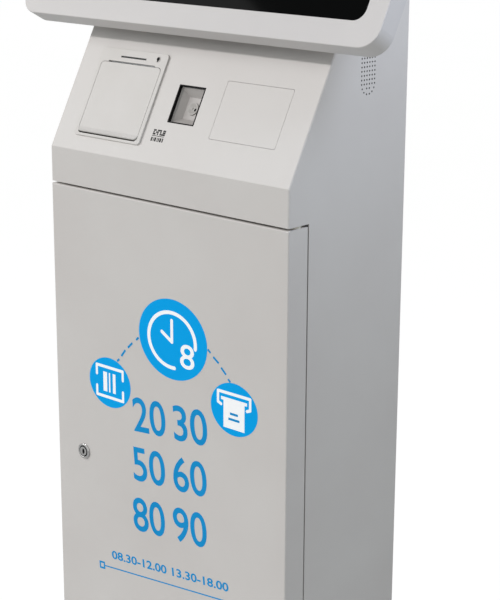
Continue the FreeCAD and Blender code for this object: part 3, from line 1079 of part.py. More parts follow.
def monitor_back():
    """The rear cover set inside the shell, the collar that carries the monitor, and the collar's screws."""
    cover = new_body("monitor_rear_cover", on_slope=True)
    inset = "(sheet_gauge + fit_gap)"
    pad(cover, "XY", "monitor_back", "monitor_back + sheet_gauge",
        rounded("0", MONITOR_MID, f"monitor_width - 2 * {inset}", f"monitor_tall - 2 * {inset}",
                f"monitor_corner - {inset}"))
    cable = centred("0", "collar_rise", "collar_width - 2 * collar_lip - 2 * cable_window",
                    "collar_tall - 2 * collar_lip - 2 * cable_window")
    through = ("monitor_back - cut_margin", "monitor_back + sheet_gauge + cut_margin")
    pocket(cover, "XY", *through, cable, *collar_corners("collar_screw_radius + bar_fit"))
    lowest = f"monitor_low + monitor_tall - cover_vent_edge - vent_pitch * {COVER_VENTS - 1}"
    vent = pocket(cover, "XY", *through, rounded("0", lowest, "cover_vent_width", "vent_height",
            "(vent_height / 2 - round_margin)"))
    repeat_along(cover, vent, "Y_Axis", f"vent_pitch * {COVER_VENTS - 1}", COVER_VENTS)
    collar = new_body("monitor_collar", on_slope=True)
    pad(collar, "XY", "0", "monitor_back", centred("0", "collar_rise", "collar_width", "collar_tall"))
    pocket(collar, "XY", "sheet_gauge", "monitor_back - sheet_gauge",
           centred("0", "collar_rise", "collar_width - 2 * sheet_gauge", "collar_tall - 2 * sheet_gauge"))
    pocket(collar, "XY", "-cut_margin", "monitor_back + cut_margin",
           centred("0", "collar_rise", "collar_width - 2 * collar_lip", "collar_tall - 2 * collar_lip"))
    pocket(collar, "XY", "-cut_margin", "monitor_back + cut_margin",
           *collar_corners("collar_screw_radius + bar_fit"))
    screws = new_body("collar_screws", on_slope=True)
    lip = "(monitor_back - sheet_gauge)"
    for seat, tip in (("-sheet_gauge", "sheet_gauge + collar_screw_tip"),
                      (lip, "monitor_back + sheet_gauge + collar_screw_tip")):
        pad(screws, "XY", f"{seat} - collar_screw_head_height", seat, *collar_corners("collar_screw_head"))
        pad(screws, "XY", seat, tip, *collar_corners("collar_screw_radius"))


# Build order, check and export

for make in (cabinet_shell, base_tray, rear_panel, rear_panel_screws, equipment_shelf, computer,
             power_supply, power_entry, fan, speakers, front_door, door_stiffeners, door_hinge, cam_lock,
             printer_faceplate, printer_lid, printer_chassis, platen, feed_drive, print_head, cutter,
             paper_supply, printer_controls, code_scanner, blank_panel, monitor_shell, monitor_display,
             monitor_back):
    make()
doc.recompute()

faults = [f"{thing.Label}: {thing.State}" for thing in doc.Objects if {"Invalid",
        "Error"} & set(thing.State)]
pieces = [thing for thing in doc.Objects if thing.TypeId == "PartDesign::Body"]
faults += [f"{piece.Label}: shape" for piece in pieces if piece.Shape.isNull() or not piece.Shape.isValid()]
if faults:
    raise RuntimeError("; ".join(faults))

os.makedirs("parts", exist_ok=True)
for piece in pieces:
    piece.Shape.exportStep(f"parts/{piece.Label}.step")
    print(piece.Label, len(piece.Shape.Solids), round(piece.Shape.Volume))
print(len(pieces), "pieces")
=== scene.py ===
# %% [markdown]
# A self-service ticket kiosk as it stands in a hall: a folded steel cabinet with a locked front
# door, a sloped console with a ticket printer and a code scanner, and a wide touch monitor above.
# The engineered parts come from the CAD model with real sizes, so this lesson spends its effort
# on what the eye reads next: finishes, printed graphics, small fittings, the camera and the light.

# %% Load the engineered parts
import json
import math

import bmesh
import bpy
from mathutils import Matrix, Vector


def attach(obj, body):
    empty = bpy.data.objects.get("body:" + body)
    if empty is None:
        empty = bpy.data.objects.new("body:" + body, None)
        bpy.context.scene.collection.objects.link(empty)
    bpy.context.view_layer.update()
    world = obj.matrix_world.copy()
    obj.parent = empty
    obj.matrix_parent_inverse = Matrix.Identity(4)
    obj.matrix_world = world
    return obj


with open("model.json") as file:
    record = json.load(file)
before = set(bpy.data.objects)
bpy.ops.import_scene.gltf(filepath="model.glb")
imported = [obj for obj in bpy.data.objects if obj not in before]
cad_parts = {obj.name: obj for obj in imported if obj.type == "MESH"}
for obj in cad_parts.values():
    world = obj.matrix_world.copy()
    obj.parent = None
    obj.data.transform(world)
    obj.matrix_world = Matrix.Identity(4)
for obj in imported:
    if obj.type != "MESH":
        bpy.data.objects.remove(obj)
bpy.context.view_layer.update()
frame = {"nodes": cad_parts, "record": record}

NODES = frame["nodes"]
MM = 0.001

# %% [markdown]
# The console leans back, so everything on it is easier to place in its own axes: x across, up the
# slope, and out of it. One function turns such a place into the cabinet's axes. The slope's angle
# and its lower front edge are the two sizes that every later step leans on.

# %% The console's own axes
SLOPE_ANGLE = math.radians(61.9)
CONSOLE_EDGE = Vector((0, -106 * MM, 905 * MM))
SEAM_Z = 860 * MM
DOOR_FACE_Y = -106 * MM
ON_SLOPE = Matrix.Translation(CONSOLE_EDGE) @ Matrix.Rotation(SLOPE_ANGLE, 4, "X")
ON_DOOR = Matrix.Translation((0, DOOR_FACE_Y, SEAM_Z)) @ Matrix.Rotation(math.pi / 2, 4, "X")
print("slope normal", [round(v, 3) for v in ON_SLOPE.to_3x3() @ Vector((0, 0, 1))])

# %% [markdown]
# The picture was taken from the kiosk's right front, a little above the console, with a long lens.
# A camera is its place, the way it looks, and its lens, so these three are all that is set here.
# The roll is a quarter of a degree: the verticals of a hand-held picture are never quite upright.

# %% Camera
CAMERA_PLACE = Vector((1.3855, -1.4800, 1.2858))
CAMERA_YAW = math.radians(42.15)
CAMERA_PITCH = math.radians(15.65)
CAMERA_ROLL = math.radians(-0.24)
FOCAL_PIXELS = 1663
IMAGE_TALL = 600
SENSOR = 36
NEAREST = 0.05

camera_data = bpy.data.cameras.new("camera")
camera_data.sensor_width = SENSOR
camera_data.lens = FOCAL_PIXELS / IMAGE_TALL * SENSOR
camera_data.clip_start = NEAREST
camera = bpy.data.objects.new("camera", camera_data)
bpy.context.scene.collection.objects.link(camera)
forward = Vector((-math.sin(CAMERA_YAW) * math.cos(CAMERA_PITCH),
                  math.cos(CAMERA_YAW) * math.cos(CAMERA_PITCH), -math.sin(CAMERA_PITCH)))
level_right = Vector((math.cos(CAMERA_YAW), math.sin(CAMERA_YAW), 0))
level_down = forward.cross(level_right)
right = math.cos(CAMERA_ROLL) * level_right + math.sin(CAMERA_ROLL) * level_down
down = math.cos(CAMERA_ROLL) * level_down - math.sin(CAMERA_ROLL) * level_right
facing = Matrix((right, -down, -forward)).transposed().to_4x4()
camera.matrix_world = Matrix.Translation(CAMERA_PLACE) @ facing
bpy.context.scene.camera = camera
print("lens", round(camera_data.lens, 1), "mm")

# %% [markdown]
# Paint charts and web pages give colours in sRGB, but the renderer adds light in linear numbers.
# One function does that change, so every colour below can be written as the hex value that the
# eye would match. A second small function adds a shader node with its settings and its links.

# %% Colour and node helpers
def linear(hex_colour, alpha=1.0):
    """A hex sRGB colour as linear red, green, blue and alpha."""
    parts = [int(hex_colour[i:i + 2], 16) / 255 for i in (1, 3, 5)]
    return [v / 12.92 if v <= 0.04045 else ((v + 0.055) / 1.055) ** 2.4 for v in parts] + [alpha]


def add_node(material, kind, settings=None, links=None):
    """Adds a node, sets its sockets or properties, and links the sockets that take an output.

    A socket goes by its name, or by its number where several share a name.
    """
    node = material.node_tree.nodes.new(kind)
    for name, setting in (settings or {}).items():
        if isinstance(name, int) or name in node.inputs:
            node.inputs[name].default_value = setting
        else:
            setattr(node, name, setting)
    for name, output in (links or {}).items():
        material.node_tree.links.new(output, node.inputs[name])
    return node


def new_finish(name, roughness, metallic=0.0, ior=1.5, **sockets):
    """A material with one surface shader, and the shader and the object's coordinates."""
    material = bpy.data.materials.new(name)
    material.use_nodes = True
    shader = material.node_tree.nodes["Principled BSDF"]
    shader.inputs["Roughness"].default_value = roughness
    shader.inputs["Metallic"].default_value = metallic
    if not metallic:
        shader.inputs["IOR"].default_value = ior
    for socket, setting in sockets.items():
        shader.inputs[socket.replace("_", " ")].default_value = setting
    place = add_node(material, "ShaderNodeTexCoord").outputs["Object"]
    return material, shader, place


print("light grey in linear numbers", [round(v, 3) for v in linear("#d0ccc8")])

# %% [markdown]
# No painted or moulded surface is one flat colour. Two patterns do most of the work here. A slow
# mottle drifts between two close colours, as paint film and pigment do. A fine relief makes the
# grain that catches the light. Each takes its size in millimetres, so it stays true to the part.

# %% Mottle and relief
DRIFT_ENDS = (0.3, 0.7)


def mottle(material, shader, place, colours, size_mm, detail=3.0):
    """A slow drift between two close colours, patches of about the given size."""
    noise = add_node(material, "ShaderNodeTexNoise", {"Scale": 1 / (size_mm * MM), "Detail": detail},
                     {"Vector": place})
    ramp = add_node(material, "ShaderNodeValToRGB", links={"Fac": noise.outputs["Fac"]})
    for element, position, colour in zip(ramp.color_ramp.elements, DRIFT_ENDS, colours):
        element.position = position
        element.color = linear(colour)
    material.node_tree.links.new(ramp.outputs["Color"], shader.inputs["Base Color"])


def relief(material, shader, place, grain_mm, depth_mm, detail=2.0):
    """A fine grain in the surface, of the given spacing and depth."""
    noise = add_node(material, "ShaderNodeTexNoise", {"Scale": 1 / (grain_mm * MM), "Detail": detail},
                     {"Vector": place})
    bump = add_node(material, "ShaderNodeBump", {"Strength": 1.0, "Distance": depth_mm * MM},
                    {"Height": noise.outputs["Fac"]})
    material.node_tree.links.new(bump.outputs["Normal"], shader.inputs["Normal"])
    return noise.outputs["Fac"]


def vary_roughness(material, shader, source, low, high):
    """Lets a pattern move the roughness between two values."""
    spread = add_node(material, "ShaderNodeMapRange", {"To Min": low, "To Max": high}, {"Value": source})
    material.node_tree.links.new(spread.outputs["Result"], shader.inputs["Roughness"])


print("patterns ready")

# %% [markdown]
# The cabinet is folded steel with a polyester powder coat: a dry powder that melts in an oven and
# levels into a thick satin film. It leaves a slight orange peel, about 2 mm from bump to bump. The
# real bumps are a few hundredths of a millimetre deep, so they show as a soft break in the gloss.

# %% Powder coat on steel
def powder_coat(name, colours):
    """Satin polyester powder coat: warm light grey, faint orange peel."""
    material, shader, place = new_finish(name, roughness=0.42)
    mottle(material, shader, place, colours, size_mm=160)
    grain = relief(material, shader, place, grain_mm=2.2, depth_mm=0.05)
    vary_roughness(material, shader, grain, 0.38, 0.50)
    return material


CABINET_COAT = powder_coat("powder_coat_warm_grey", ("#d2cecb", "#d7d4d1"))
MONITOR_COAT = powder_coat("powder_coat_light_grey", ("#cbc8c7", "#d0cdcb"))
print("made", CABINET_COAT.name, MONITOR_COAT.name)

# %% [markdown]
# Bare metal parts come in four finishes. Zinc plate is dull and cloudy, with crystals a few
# millimetres wide. Turned steel is brighter. Chrome plate is a near mirror. Anodised aluminium is
# pale and satin. All are full metals, so only the colour, the roughness and the pattern differ.

# %% Zinc, steel, chrome and aluminium
def zinc_plate():
    """Zinc-plated sheet: cloudy crystals about 7 mm wide that differ in gloss."""
    material, shader, place = new_finish("zinc_plated_sheet", roughness=0.4, metallic=1.0)
    crystals = add_node(material, "ShaderNodeTexVoronoi", {"Scale": 1 / (7 * MM)}, {"Vector": place})
    ramp = add_node(material, "ShaderNodeValToRGB", links={"Fac": crystals.outputs["Color"]})
    ramp.color_ramp.elements[0].color = linear("#b3b6b8")
    ramp.color_ramp.elements[1].color = linear("#c9cbcc")
    material.node_tree.links.new(ramp.outputs["Color"], shader.inputs["Base Color"])
    vary_roughness(material, shader, crystals.outputs["Distance"], 0.34, 0.52)
    return material


def turned_metal(name, colours, low, high, grain_mm=0.6):
    """A machined or plated metal whose gloss varies with a fine grain."""
    material, shader, place = new_finish(name, roughness=low, metallic=1.0)
    mottle(material, shader, place, colours, size_mm=12)
    grain = relief(material, shader, place, grain_mm=grain_mm, depth_mm=0.01)
    vary_roughness(material, shader, grain, low, high)
    return material


ZINC = zinc_plate()
STEEL = turned_metal("turned_steel", ("#bfc1c2", "#cfd0d1"), 0.22, 0.34)
CHROME = turned_metal("chrome_plate", ("#b4b3b2", "#c2c1c0"), 0.06, 0.12, grain_mm=3)
ALUMINIUM = turned_metal("anodised_aluminium", ("#c3c5c7", "#cdcfd0"), 0.36, 0.46)
BRASS = turned_metal("brass_contacts", ("#c6a55c", "#d6b870"), 0.25, 0.35)
print("made", [m.name for m in (ZINC, STEEL, CHROME, ALUMINIUM, BRASS)])

# %% [markdown]
# The printer's lid and plate are moulded ABS in the cabinet's colour. The tool is spark eroded,
# which leaves a dry, even grain of about half a millimetre. Black and grey mouldings share the
# recipe. Nylon gears are creamier and a little translucent, so they get some subsurface light.
# The scanner's frame and the status bar drink the light, so they mirror less than plain plastic.

# %% Moulded plastics
def moulded(name, colours, low, high, grain_mm=0.6, depth_mm=0.03, **sockets):
    """Injection-moulded plastic with a spark-eroded grain."""
    material, shader, place = new_finish(name, roughness=low, ior=1.53, **sockets)
    mottle(material, shader, place, colours, size_mm=60)
    grain = relief(material, shader, place, grain_mm=grain_mm, depth_mm=depth_mm)
    vary_roughness(material, shader, grain, low, high)
    return material


PRINTER_ABS = moulded("moulded_abs_warm_grey", ("#d3d0cc", "#d8d5d2"), 0.46, 0.58)
BLACK_ABS = moulded("moulded_abs_black", ("#101113", "#17181a"), 0.42, 0.55)
FUNNEL_ABS = moulded("moulded_abs_mid_grey", ("#b9b5b2", "#c0bcb9"), 0.45, 0.55)
LENS_ABS = moulded("moulded_abs_pale_grey", ("#b4b1ad", "#bcb9b5"), 0.35, 0.45)
NYLON = moulded("moulded_nylon", ("#d9d3c4", "#e4dfd2"), 0.35, 0.5, Subsurface_Weight=0.1)
MATT_BLACK_ABS = moulded("moulded_abs_matt_black", ("#050506", "#09090a"), 0.55, 0.65,
                         Specular_IOR_Level=0.12)
SMOKED_ACRYLIC = moulded("smoked_acrylic", ("#060607", "#0a0a0b"), 0.08, 0.14, depth_mm=0.0,
                         Specular_IOR_Level=0.1)
RUBBER = moulded("ground_rubber", ("#161616", "#202020"), 0.65, 0.8, grain_mm=0.4, depth_mm=0.05)
print("made", [m.name for m in (PRINTER_ABS, BLACK_ABS, FUNNEL_ABS, LENS_ABS, NYLON)])
print("made", [m.name for m in (MATT_BLACK_ABS, SMOKED_ACRYLIC, RUBBER)])

# %% [markdown]
# The monitor is one sheet of glass with a black print behind it, and an anti-reflective coating in
# front. Without the coating it would mirror the bright room as a pale haze. With it, only a faint
# sheen is left, which is why a switched-off display looks almost pure black in daylight.

# %% Touch glass
def coated_glass():
    """Polished glass over black print: a mirror-smooth face with very little reflection."""
    material, shader, place = new_finish("black_printed_touch_glass", roughness=0.05, ior=1.52,
                                         Specular_IOR_Level=0.02)
    mottle(material, shader, place, ("#030404", "#050606"), size_mm=220)
    smears = add_node(material, "ShaderNodeTexNoise", {"Scale": 1 / (45 * MM), "Detail": 4.0},
                      {"Vector": place})
    vary_roughness(material, shader, smears.outputs["Fac"], 0.04, 0.09)
    return material


GLASS = coated_glass()
print("made", GLASS.name)

# %% [markdown]
# Inside sit a paper roll, circuit boards and speaker cones. A roll shows its wound edge as fine
# rings round its core. A board is green solder resist with lighter copper under it. A cone is
# pressed paper pulp, dull and fibrous. They show once a lid or the door is open.

# %% Paper, circuit board and speaker cone
ROLL_CENTRE = ON_SLOPE @ Vector((-108 * MM, 61 * MM, -41 * MM))


def wound_paper():
    """Thermal paper: white faces, and rings round the core on the wound edges."""
    material, shader, place = new_finish("thermal_paper_roll", roughness=0.7)
    centred = add_node(material, "ShaderNodeMapping", {"Location": -ROLL_CENTRE}, {"Vector": place})
    rings = add_node(material, "ShaderNodeTexWave",
                     {"wave_type": "RINGS", "rings_direction": "X", "Scale": 1 / (6 * MM),
                      "Distortion": 0.4}, {"Vector": centred.outputs["Vector"]})
    ramp = add_node(material, "ShaderNodeValToRGB", links={"Fac": rings.outputs["Fac"]})
    ramp.color_ramp.elements[0].color = linear("#dddad2")
    ramp.color_ramp.elements[1].color = linear("#f1efea")
    material.node_tree.links.new(ramp.outputs["Color"], shader.inputs["Base Color"])
    return material


def solder_resist():
    """Green board: lighter tracks as the edges of small cells."""
    material, shader, place = new_finish("green_solder_resist", roughness=0.35)
    cells = add_node(material, "ShaderNodeTexVoronoi",
                     {"feature": "DISTANCE_TO_EDGE", "Scale": 1 / (5 * MM)}, {"Vector": place})
    ramp = add_node(material, "ShaderNodeValToRGB", links={"Fac": cells.outputs["Distance"]})
    ramp.color_ramp.elements[0].color = linear("#2f7a4c")
    ramp.color_ramp.elements[1].color = linear("#14502f")
    ramp.color_ramp.elements[1].position = 0.08
    material.node_tree.links.new(ramp.outputs["Color"], shader.inputs["Base Color"])
    return material


PAPER = wound_paper()
BOARD = solder_resist()
CONE = moulded("pressed_paper_cone", ("#1b1b1c", "#262627"), 0.75, 0.9, grain_mm=1.2, depth_mm=0.1)
print("made", [m.name for m in (PAPER, BOARD, CONE)])

# %% [markdown]
# Each engineered part already names a material slot in the parts record, so one table joins every
# slot to its finish. A few parts need a finish of their own. Nothing is moved or reshaped here:
# only the slot on the part's mesh changes.

# %% Dress the engineered parts
SLOT_FINISH = {
    "powder_coat": CABINET_COAT, "zinc_steel": ZINC, "bright_steel": STEEL, "chrome_plate": CHROME,
    "aluminium": ALUMINIUM, "printer_white": PRINTER_ABS, "black_plastic": BLACK_ABS,
    "grey_plastic": FUNNEL_ABS, "nylon": NYLON, "light_guide": SMOKED_ACRYLIC, "screen_glass": GLASS,
    "roller_rubber": RUBBER, "ticket_paper": PAPER, "circuit_board": BOARD, "speaker_cone": CONE,
    "brass_pin": BRASS,
}
OWN_FINISH = {"scanner_lens": LENS_ABS, "scanner_frame": MATT_BLACK_ABS,
              "monitor_front_shell": MONITOR_COAT, "monitor_rear_cover": MONITOR_COAT}
for subpart in frame["record"]["subparts"]:
    part = NODES[subpart["node"]]
    finish = OWN_FINISH.get(subpart["node"], SLOT_FINISH[subpart["material_slot"]])
    if not part.material_slots:
        part.data.materials.append(finish)
    for material_slot in part.material_slots:
        material_slot.material = finish
print("dressed", len(NODES), "parts")

# %% [markdown]
# The blue graphics on the door are cut vinyl film: flat colour, about 0.1 mm thick, pressed on the
# powder coat. Thin real shapes serve better than paint here, because each edge stays sharp and the
# film keeps its own gloss. Three discs carry plain signs: a clock, a bar code and a ticket. White
# film is given a weak glow of its own. This is painted light that makes it brighter than plain
# white, in the place of the optical brightener that real white film holds.

# %% Vinyl films
def vinyl(name, hex_colours):
    """Self-adhesive vinyl: smooth, even, with a soft top coat that keeps the colour deep."""
    material, shader, place = new_finish(name, roughness=0.5, ior=1.52, Specular_IOR_Level=0.06)
    mottle(material, shader, place, hex_colours, size_mm=90)
    relief(material, shader, place, grain_mm=6, depth_mm=0.02)
    return material


PAINTED_GLOW_STRENGTH = 0.12
BLUE_VINYL = vinyl("vinyl_sky_blue", ("#00aaf6", "#00aefa"))
DEEP_BLUE_VINYL = vinyl("vinyl_deep_blue", ("#1394d6", "#1899dc"))
WHITE_VINYL = vinyl("vinyl_white", ("#fbfdff", "#ffffff"))
# A weak glow on the white film: painted light.
white_vinyl_shader = WHITE_VINYL.node_tree.nodes["Principled BSDF"]
white_vinyl_shader.inputs["Emission Color"].default_value = linear("#eef8ff")
white_vinyl_shader.inputs["Emission Strength"].default_value = PAINTED_GLOW_STRENGTH
print("made", [m.name for m in (BLUE_VINYL, DEEP_BLUE_VINYL, WHITE_VINYL)])

# %% [markdown]
# Every film is drawn flat in a bmesh, in millimetres. Small helpers draw the shapes that repeat: a
# bar, a disc, part of a ring, and a stroke with round ends. A stroke is a disc with one half drawn
# away from the other. Where two strokes cross, the second one lies a hair higher, as a second film
# would, so that no two faces share one plane.

# %% Flat shapes
DISC_STEPS = 72
STROKE_STEPS = 20
CROSSING = 0.03


def add_bar(flat, x, y, width, tall, turn=0.0):
    """A rectangle about its centre, turned in its plane."""
    place = Matrix.Translation((x, y, 0)) @ Matrix.Rotation(turn, 4, "Z")
    bmesh.ops.create_grid(flat, x_segments=1, y_segments=1, size=0.5,
                          matrix=place @ Matrix.Diagonal((width, tall, 1, 1)))


def add_disc(flat, x, y, width, tall, steps=DISC_STEPS):
    """A round or slightly oval disc about its centre."""
    place = Matrix.Translation((x, y, 0)) @ Matrix.Diagonal((width / 2, tall / 2, 1, 1))
    bmesh.ops.create_circle(flat, cap_ends=True, radius=1, segments=steps, matrix=place)


def add_stroke(flat, x0, y0, x1, y1, line, rise=0.0):
    """A straight stroke with round ends."""
    half_step = Matrix.Rotation(math.pi / STROKE_STEPS, 4, "Z")
    end = bmesh.ops.create_circle(flat, cap_ends=True, radius=line / 2, segments=STROKE_STEPS,
                                  matrix=half_step)
    ahead = [v for v in end["verts"] if v.co.x > 0]
    bmesh.ops.translate(flat, vec=(math.hypot(x1 - x0, y1 - y0), 0, 0), verts=ahead)
    place = Matrix.Translation((x0, y0, rise)) @ Matrix.Rotation(math.atan2(y1 - y0, x1 - x0), 4, "Z")
    bmesh.ops.transform(flat, matrix=place, verts=end["verts"])


def add_arc(flat, x, y, radius, line, start, end, stretch=1.0):
    """Part of a ring with round ends: a short radial edge spun round the ring's centre."""
    before = set(flat.verts)
    start_turn = math.radians(start)
    ends = [flat.verts.new((r * math.cos(start_turn), r * math.sin(start_turn), 0))
            for r in (radius - line / 2, radius + line / 2)]
    edge = flat.edges.new(ends)
    bmesh.ops.spin(flat, geom=ends + [edge], cent=(0, 0, 0), axis=(0, 0, 1),
                   angle=math.radians(end - start), steps=DISC_STEPS, use_merge=end - start >= 360)
    place = Matrix.Translation((x, y, 0)) @ Matrix.Diagonal((stretch, 1, 1, 1))
    bmesh.ops.transform(flat, matrix=place, verts=[v for v in flat.verts if v not in before])
    for turn in (math.radians(start), math.radians(end)):
        tip = (x + stretch * radius * math.cos(turn), y + radius * math.sin(turn))
        add_stroke(flat, *tip, *tip, line, CROSSING)


print("a disc has", DISC_STEPS, "steps, a stroke's end", STROKE_STEPS // 2)

# %% [markdown]
# A flat drawing becomes a film when its faces are extruded by the film's thickness, which leaves a
# closed solid with sharp edges. The same last step serves round fittings too: it turns the shape's
# faces outwards, takes it from millimetres to its place, gives it a finish, and lets it ride on the
# body that it sticks to, so that it follows when a joint moves.

# %% From a drawing to a piece
FILM = 0.12


def make_piece(name, shape, on, finish, body):
    """Turns a closed shape, drawn in millimetres, into a piece that rides on a body."""
    bmesh.ops.recalc_face_normals(shape, faces=shape.faces[:])
    bmesh.ops.transform(shape, matrix=on @ Matrix.Diagonal((MM, MM, MM, 1)), verts=shape.verts[:])
    open_edges = sum(not edge.is_manifold for edge in shape.edges)
    mesh = bpy.data.meshes.new(name)
    shape.to_mesh(mesh)
    shape.free()
    mesh.materials.append(finish)
    piece = bpy.data.objects.new(name, mesh)
    bpy.context.scene.collection.objects.link(piece)
    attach(piece, body)
    print(name, len(mesh.polygons), "faces,", open_edges, "open edges")


def lay_film(name, flat, on, lift_mm, finish, body, thick_mm=FILM):
    """Raises a flat drawing to a closed film and lays it on its surface."""
    for face in flat.faces:
        face.smooth = False
    made = bmesh.ops.extrude_face_region(flat, geom=flat.faces[:], use_keep_orig=True)
    top = [v for v in made["geom"] if isinstance(v, bmesh.types.BMVert)]
    bmesh.ops.translate(flat, vec=(0, 0, thick_mm), verts=top)
    bmesh.ops.translate(flat, vec=(0, 0, lift_mm), verts=flat.verts[:])
    make_piece(name, flat, on, finish, body)


print("film thickness", FILM, "mm")

# %% [markdown]
# The three discs stand in an arch over the door's middle. Their places are measured in millimetres
# from the door's centre line and down from the seam above it. Each disc is a little wider than it
# is tall, as the film is in the picture. Four dashes on each side join it to the disc in the middle.

# %% Blue discs and the dashed arch between them
LIFT = 0.02
DISCS = {"clock": (14.7, -168, 117, 102), "bars": (-98.5, -249, 76, 66),
         "ticket": (117.0, -234, 76, 66)}
CLOCK_PLACE, BARS_PLACE, TICKET_PLACE = (disc[:2] for disc in DISCS.values())
discs = bmesh.new()
for disc in DISCS.values():
    add_disc(discs, *disc)
lay_film("door_film_discs", discs, ON_DOOR, LIFT, BLUE_VINYL, "door")

DASH_LINE = 2.8
DASHES = (((-84.4, -217.0), (-80.4, -213.4)), ((-76.5, -208.5), (-69.0, -199.2)),
          ((-64.3, -194.8), (-56.2, -187.1)), ((-49.2, -181.7), (-44.8, -177.5)),
          ((74.1, -167.7), (78.7, -171.2)), ((83.1, -175.3), (92.0, -181.2)),
          ((96.0, -185.7), (103.9, -192.9)), ((107.3, -197.6), (111.0, -200.9)))
dashes = bmesh.new()
for (x0, y0), (x1, y1) in DASHES:
    add_bar(dashes, (x0 + x1) / 2, (y0 + y1) / 2, math.hypot(x1 - x0, y1 - y0), DASH_LINE,
            math.atan2(y1 - y0, x1 - x0))
lay_film("door_film_dashes", dashes, ON_DOOR, LIFT + CROSSING, DEEP_BLUE_VINYL, "door")

# %% [markdown]
# White film on the blue discs draws the signs. The clock is a ring with two hands. The bar code
# sits between four corner brackets. The ticket hangs from a slot. Bars, arcs and strokes with round
# ends are all that they need.

# %% White signs on the discs
SIGN_LINE = 4.6
THIN_LINE = 3.8
DIAL_RADIUS = 35
DIAL_SWEEP = (-6, 276)
DIAL_STRETCH = 1.14
DIAL_OFFSET = (-1, -1)
HANDS_PIVOT = (-1, -3)
MINUTE_TIP = (-1, 24)
HOUR_TIP = (-18, 7)
BRACKETS_HALF = (24, 20)
BRACKET_ARM = 12
SIGN_BARS = ((-8.5, 7), (-0.5, 2.4), (8, 5))
SIGN_BARS_TALL = 26
SLOT_HALF = 26
SLOT_TOP = 19
SLOT_END = 5
SLOT_LIP = (21, 3)
SLIP_BOXES = ((11, 42, 4), (-8, 34, 34))
SLIP_LINES = ((-6, 13), (-13, 18))
SLIP_LINE = 3


def draw_clock(flat, x, y):
    """A dial ring, open at the lower right, with an hour hand and a minute hand."""
    add_arc(flat, x + DIAL_OFFSET[0], y + DIAL_OFFSET[1], DIAL_RADIUS, SIGN_LINE, *DIAL_SWEEP,
            stretch=DIAL_STRETCH)
    pivot = (x + HANDS_PIVOT[0], y + HANDS_PIVOT[1])
    add_stroke(flat, x + MINUTE_TIP[0], y + MINUTE_TIP[1], *pivot, SIGN_LINE)
    add_stroke(flat, *pivot, x + HOUR_TIP[0], y + HOUR_TIP[1], SIGN_LINE, CROSSING)


def draw_bars(flat, x, y):
    """Bars between four corner brackets."""
    half_wide, half_tall = BRACKETS_HALF
    for up in (-1, 1):
        level = y + up * half_tall
        add_stroke(flat, x - half_wide, level, x + half_wide, level, THIN_LINE)
        for side in (x - half_wide, x + half_wide):
            add_stroke(flat, side, level, side, level - up * BRACKET_ARM, THIN_LINE, CROSSING)
    for offset, width in SIGN_BARS:
        add_bar(flat, x + offset, y, width, SIGN_BARS_TALL)


def draw_ticket(flat, x, y):
    """A slip hanging out of a slot."""
    add_stroke(flat, x - SLOT_HALF, y + SLOT_TOP, x + SLOT_HALF, y + SLOT_TOP, THIN_LINE)
    for across in (-1, 1):
        side = x + across * SLOT_HALF
        lip = (x + across * SLOT_LIP[0], y + SLOT_LIP[1])
        add_stroke(flat, side, y + SLOT_TOP, side, y + SLOT_END, THIN_LINE, CROSSING)
        add_stroke(flat, side, y + SLOT_END, *lip, THIN_LINE)
    for rise, width, tall in SLIP_BOXES:
        add_bar(flat, x, y + rise, width, tall)


signs = bmesh.new()
draw_clock(signs, *CLOCK_PLACE)
draw_bars(signs, *BARS_PLACE)
draw_ticket(signs, *TICKET_PLACE)
lay_film("door_film_signs", signs, ON_DOOR, LIFT + FILM, WHITE_VINYL, "door")

slip_lines = bmesh.new()
for rise, width in SLIP_LINES:
    add_bar(slip_lines, TICKET_PLACE[0], TICKET_PLACE[1] + rise, width, SLIP_LINE)
lay_film("door_film_slip_lines", slip_lines, ON_DOOR, LIFT + 2 * FILM, DEEP_BLUE_VINYL, "door")

# %% [markdown]
# Below the arch stands a block of six large signs in a deeper blue. Plain numbers fit a ticket
# kiosk, since numbers are what it hands out. They are made from text, turned into a mesh while
# still flat, and then laid on the door like the other films. The print climbs a little to the right.

# %% Numerals
CLIMB = math.radians(5.3)
NUMERAL_BOX = (58, 46)
NUMERALS = {"20": (-28.1, -278.2), "30": (43.6, -272.0), "50": (-29.6, -344.9),
            "60": (42.4, -339.1), "80": (-30.8, -413.9), "90": (42.2, -407.0)}
CLOCK_NUMERAL_OFFSET = (25, -17)
CLOCK_NUMERAL_BOX = (24, 31)
FONT_SIZE = 100
CURVE_STEPS = 6
SAME_POINT = 1e-3


def add_numeral(flat, text, x, y, wide, tall, weight, turn=0.0):
    """Numerals, thickened by their weight, stretched to their box and turned about its centre."""
    curve = bpy.data.curves.new("numeral", "FONT")
    curve.body = text
    curve.size = FONT_SIZE
    curve.offset = weight
    curve.resolution_u = CURVE_STEPS
    holder = bpy.data.objects.new("numeral", curve)
    drawn = bpy.data.meshes.new_from_object(holder)
    xs = [v.co.x for v in drawn.vertices]
    ys = [v.co.y for v in drawn.vertices]
    middle = Vector(((min(xs) + max(xs)) / 2, (min(ys) + max(ys)) / 2, 0))
    fit = Matrix.Diagonal((wide / (max(xs) - min(xs)), tall / (max(ys) - min(ys)), 1, 1))
    place = Matrix.Translation((x, y, 0)) @ Matrix.Rotation(turn, 4, "Z")
    drawn.transform(place @ fit @ Matrix.Translation(-middle))
    flat.from_mesh(drawn)
    bmesh.ops.remove_doubles(flat, verts=flat.verts[:], dist=SAME_POINT)
    bpy.data.objects.remove(holder)
    bpy.data.curves.remove(curve)


numerals = bmesh.new()
for text, (x, y) in NUMERALS.items():
    add_numeral(numerals, text, x, y, *NUMERAL_BOX, weight=1.0, turn=CLIMB)
lay_film("door_film_numerals", numerals, ON_DOOR, LIFT, DEEP_BLUE_VINYL, "door")

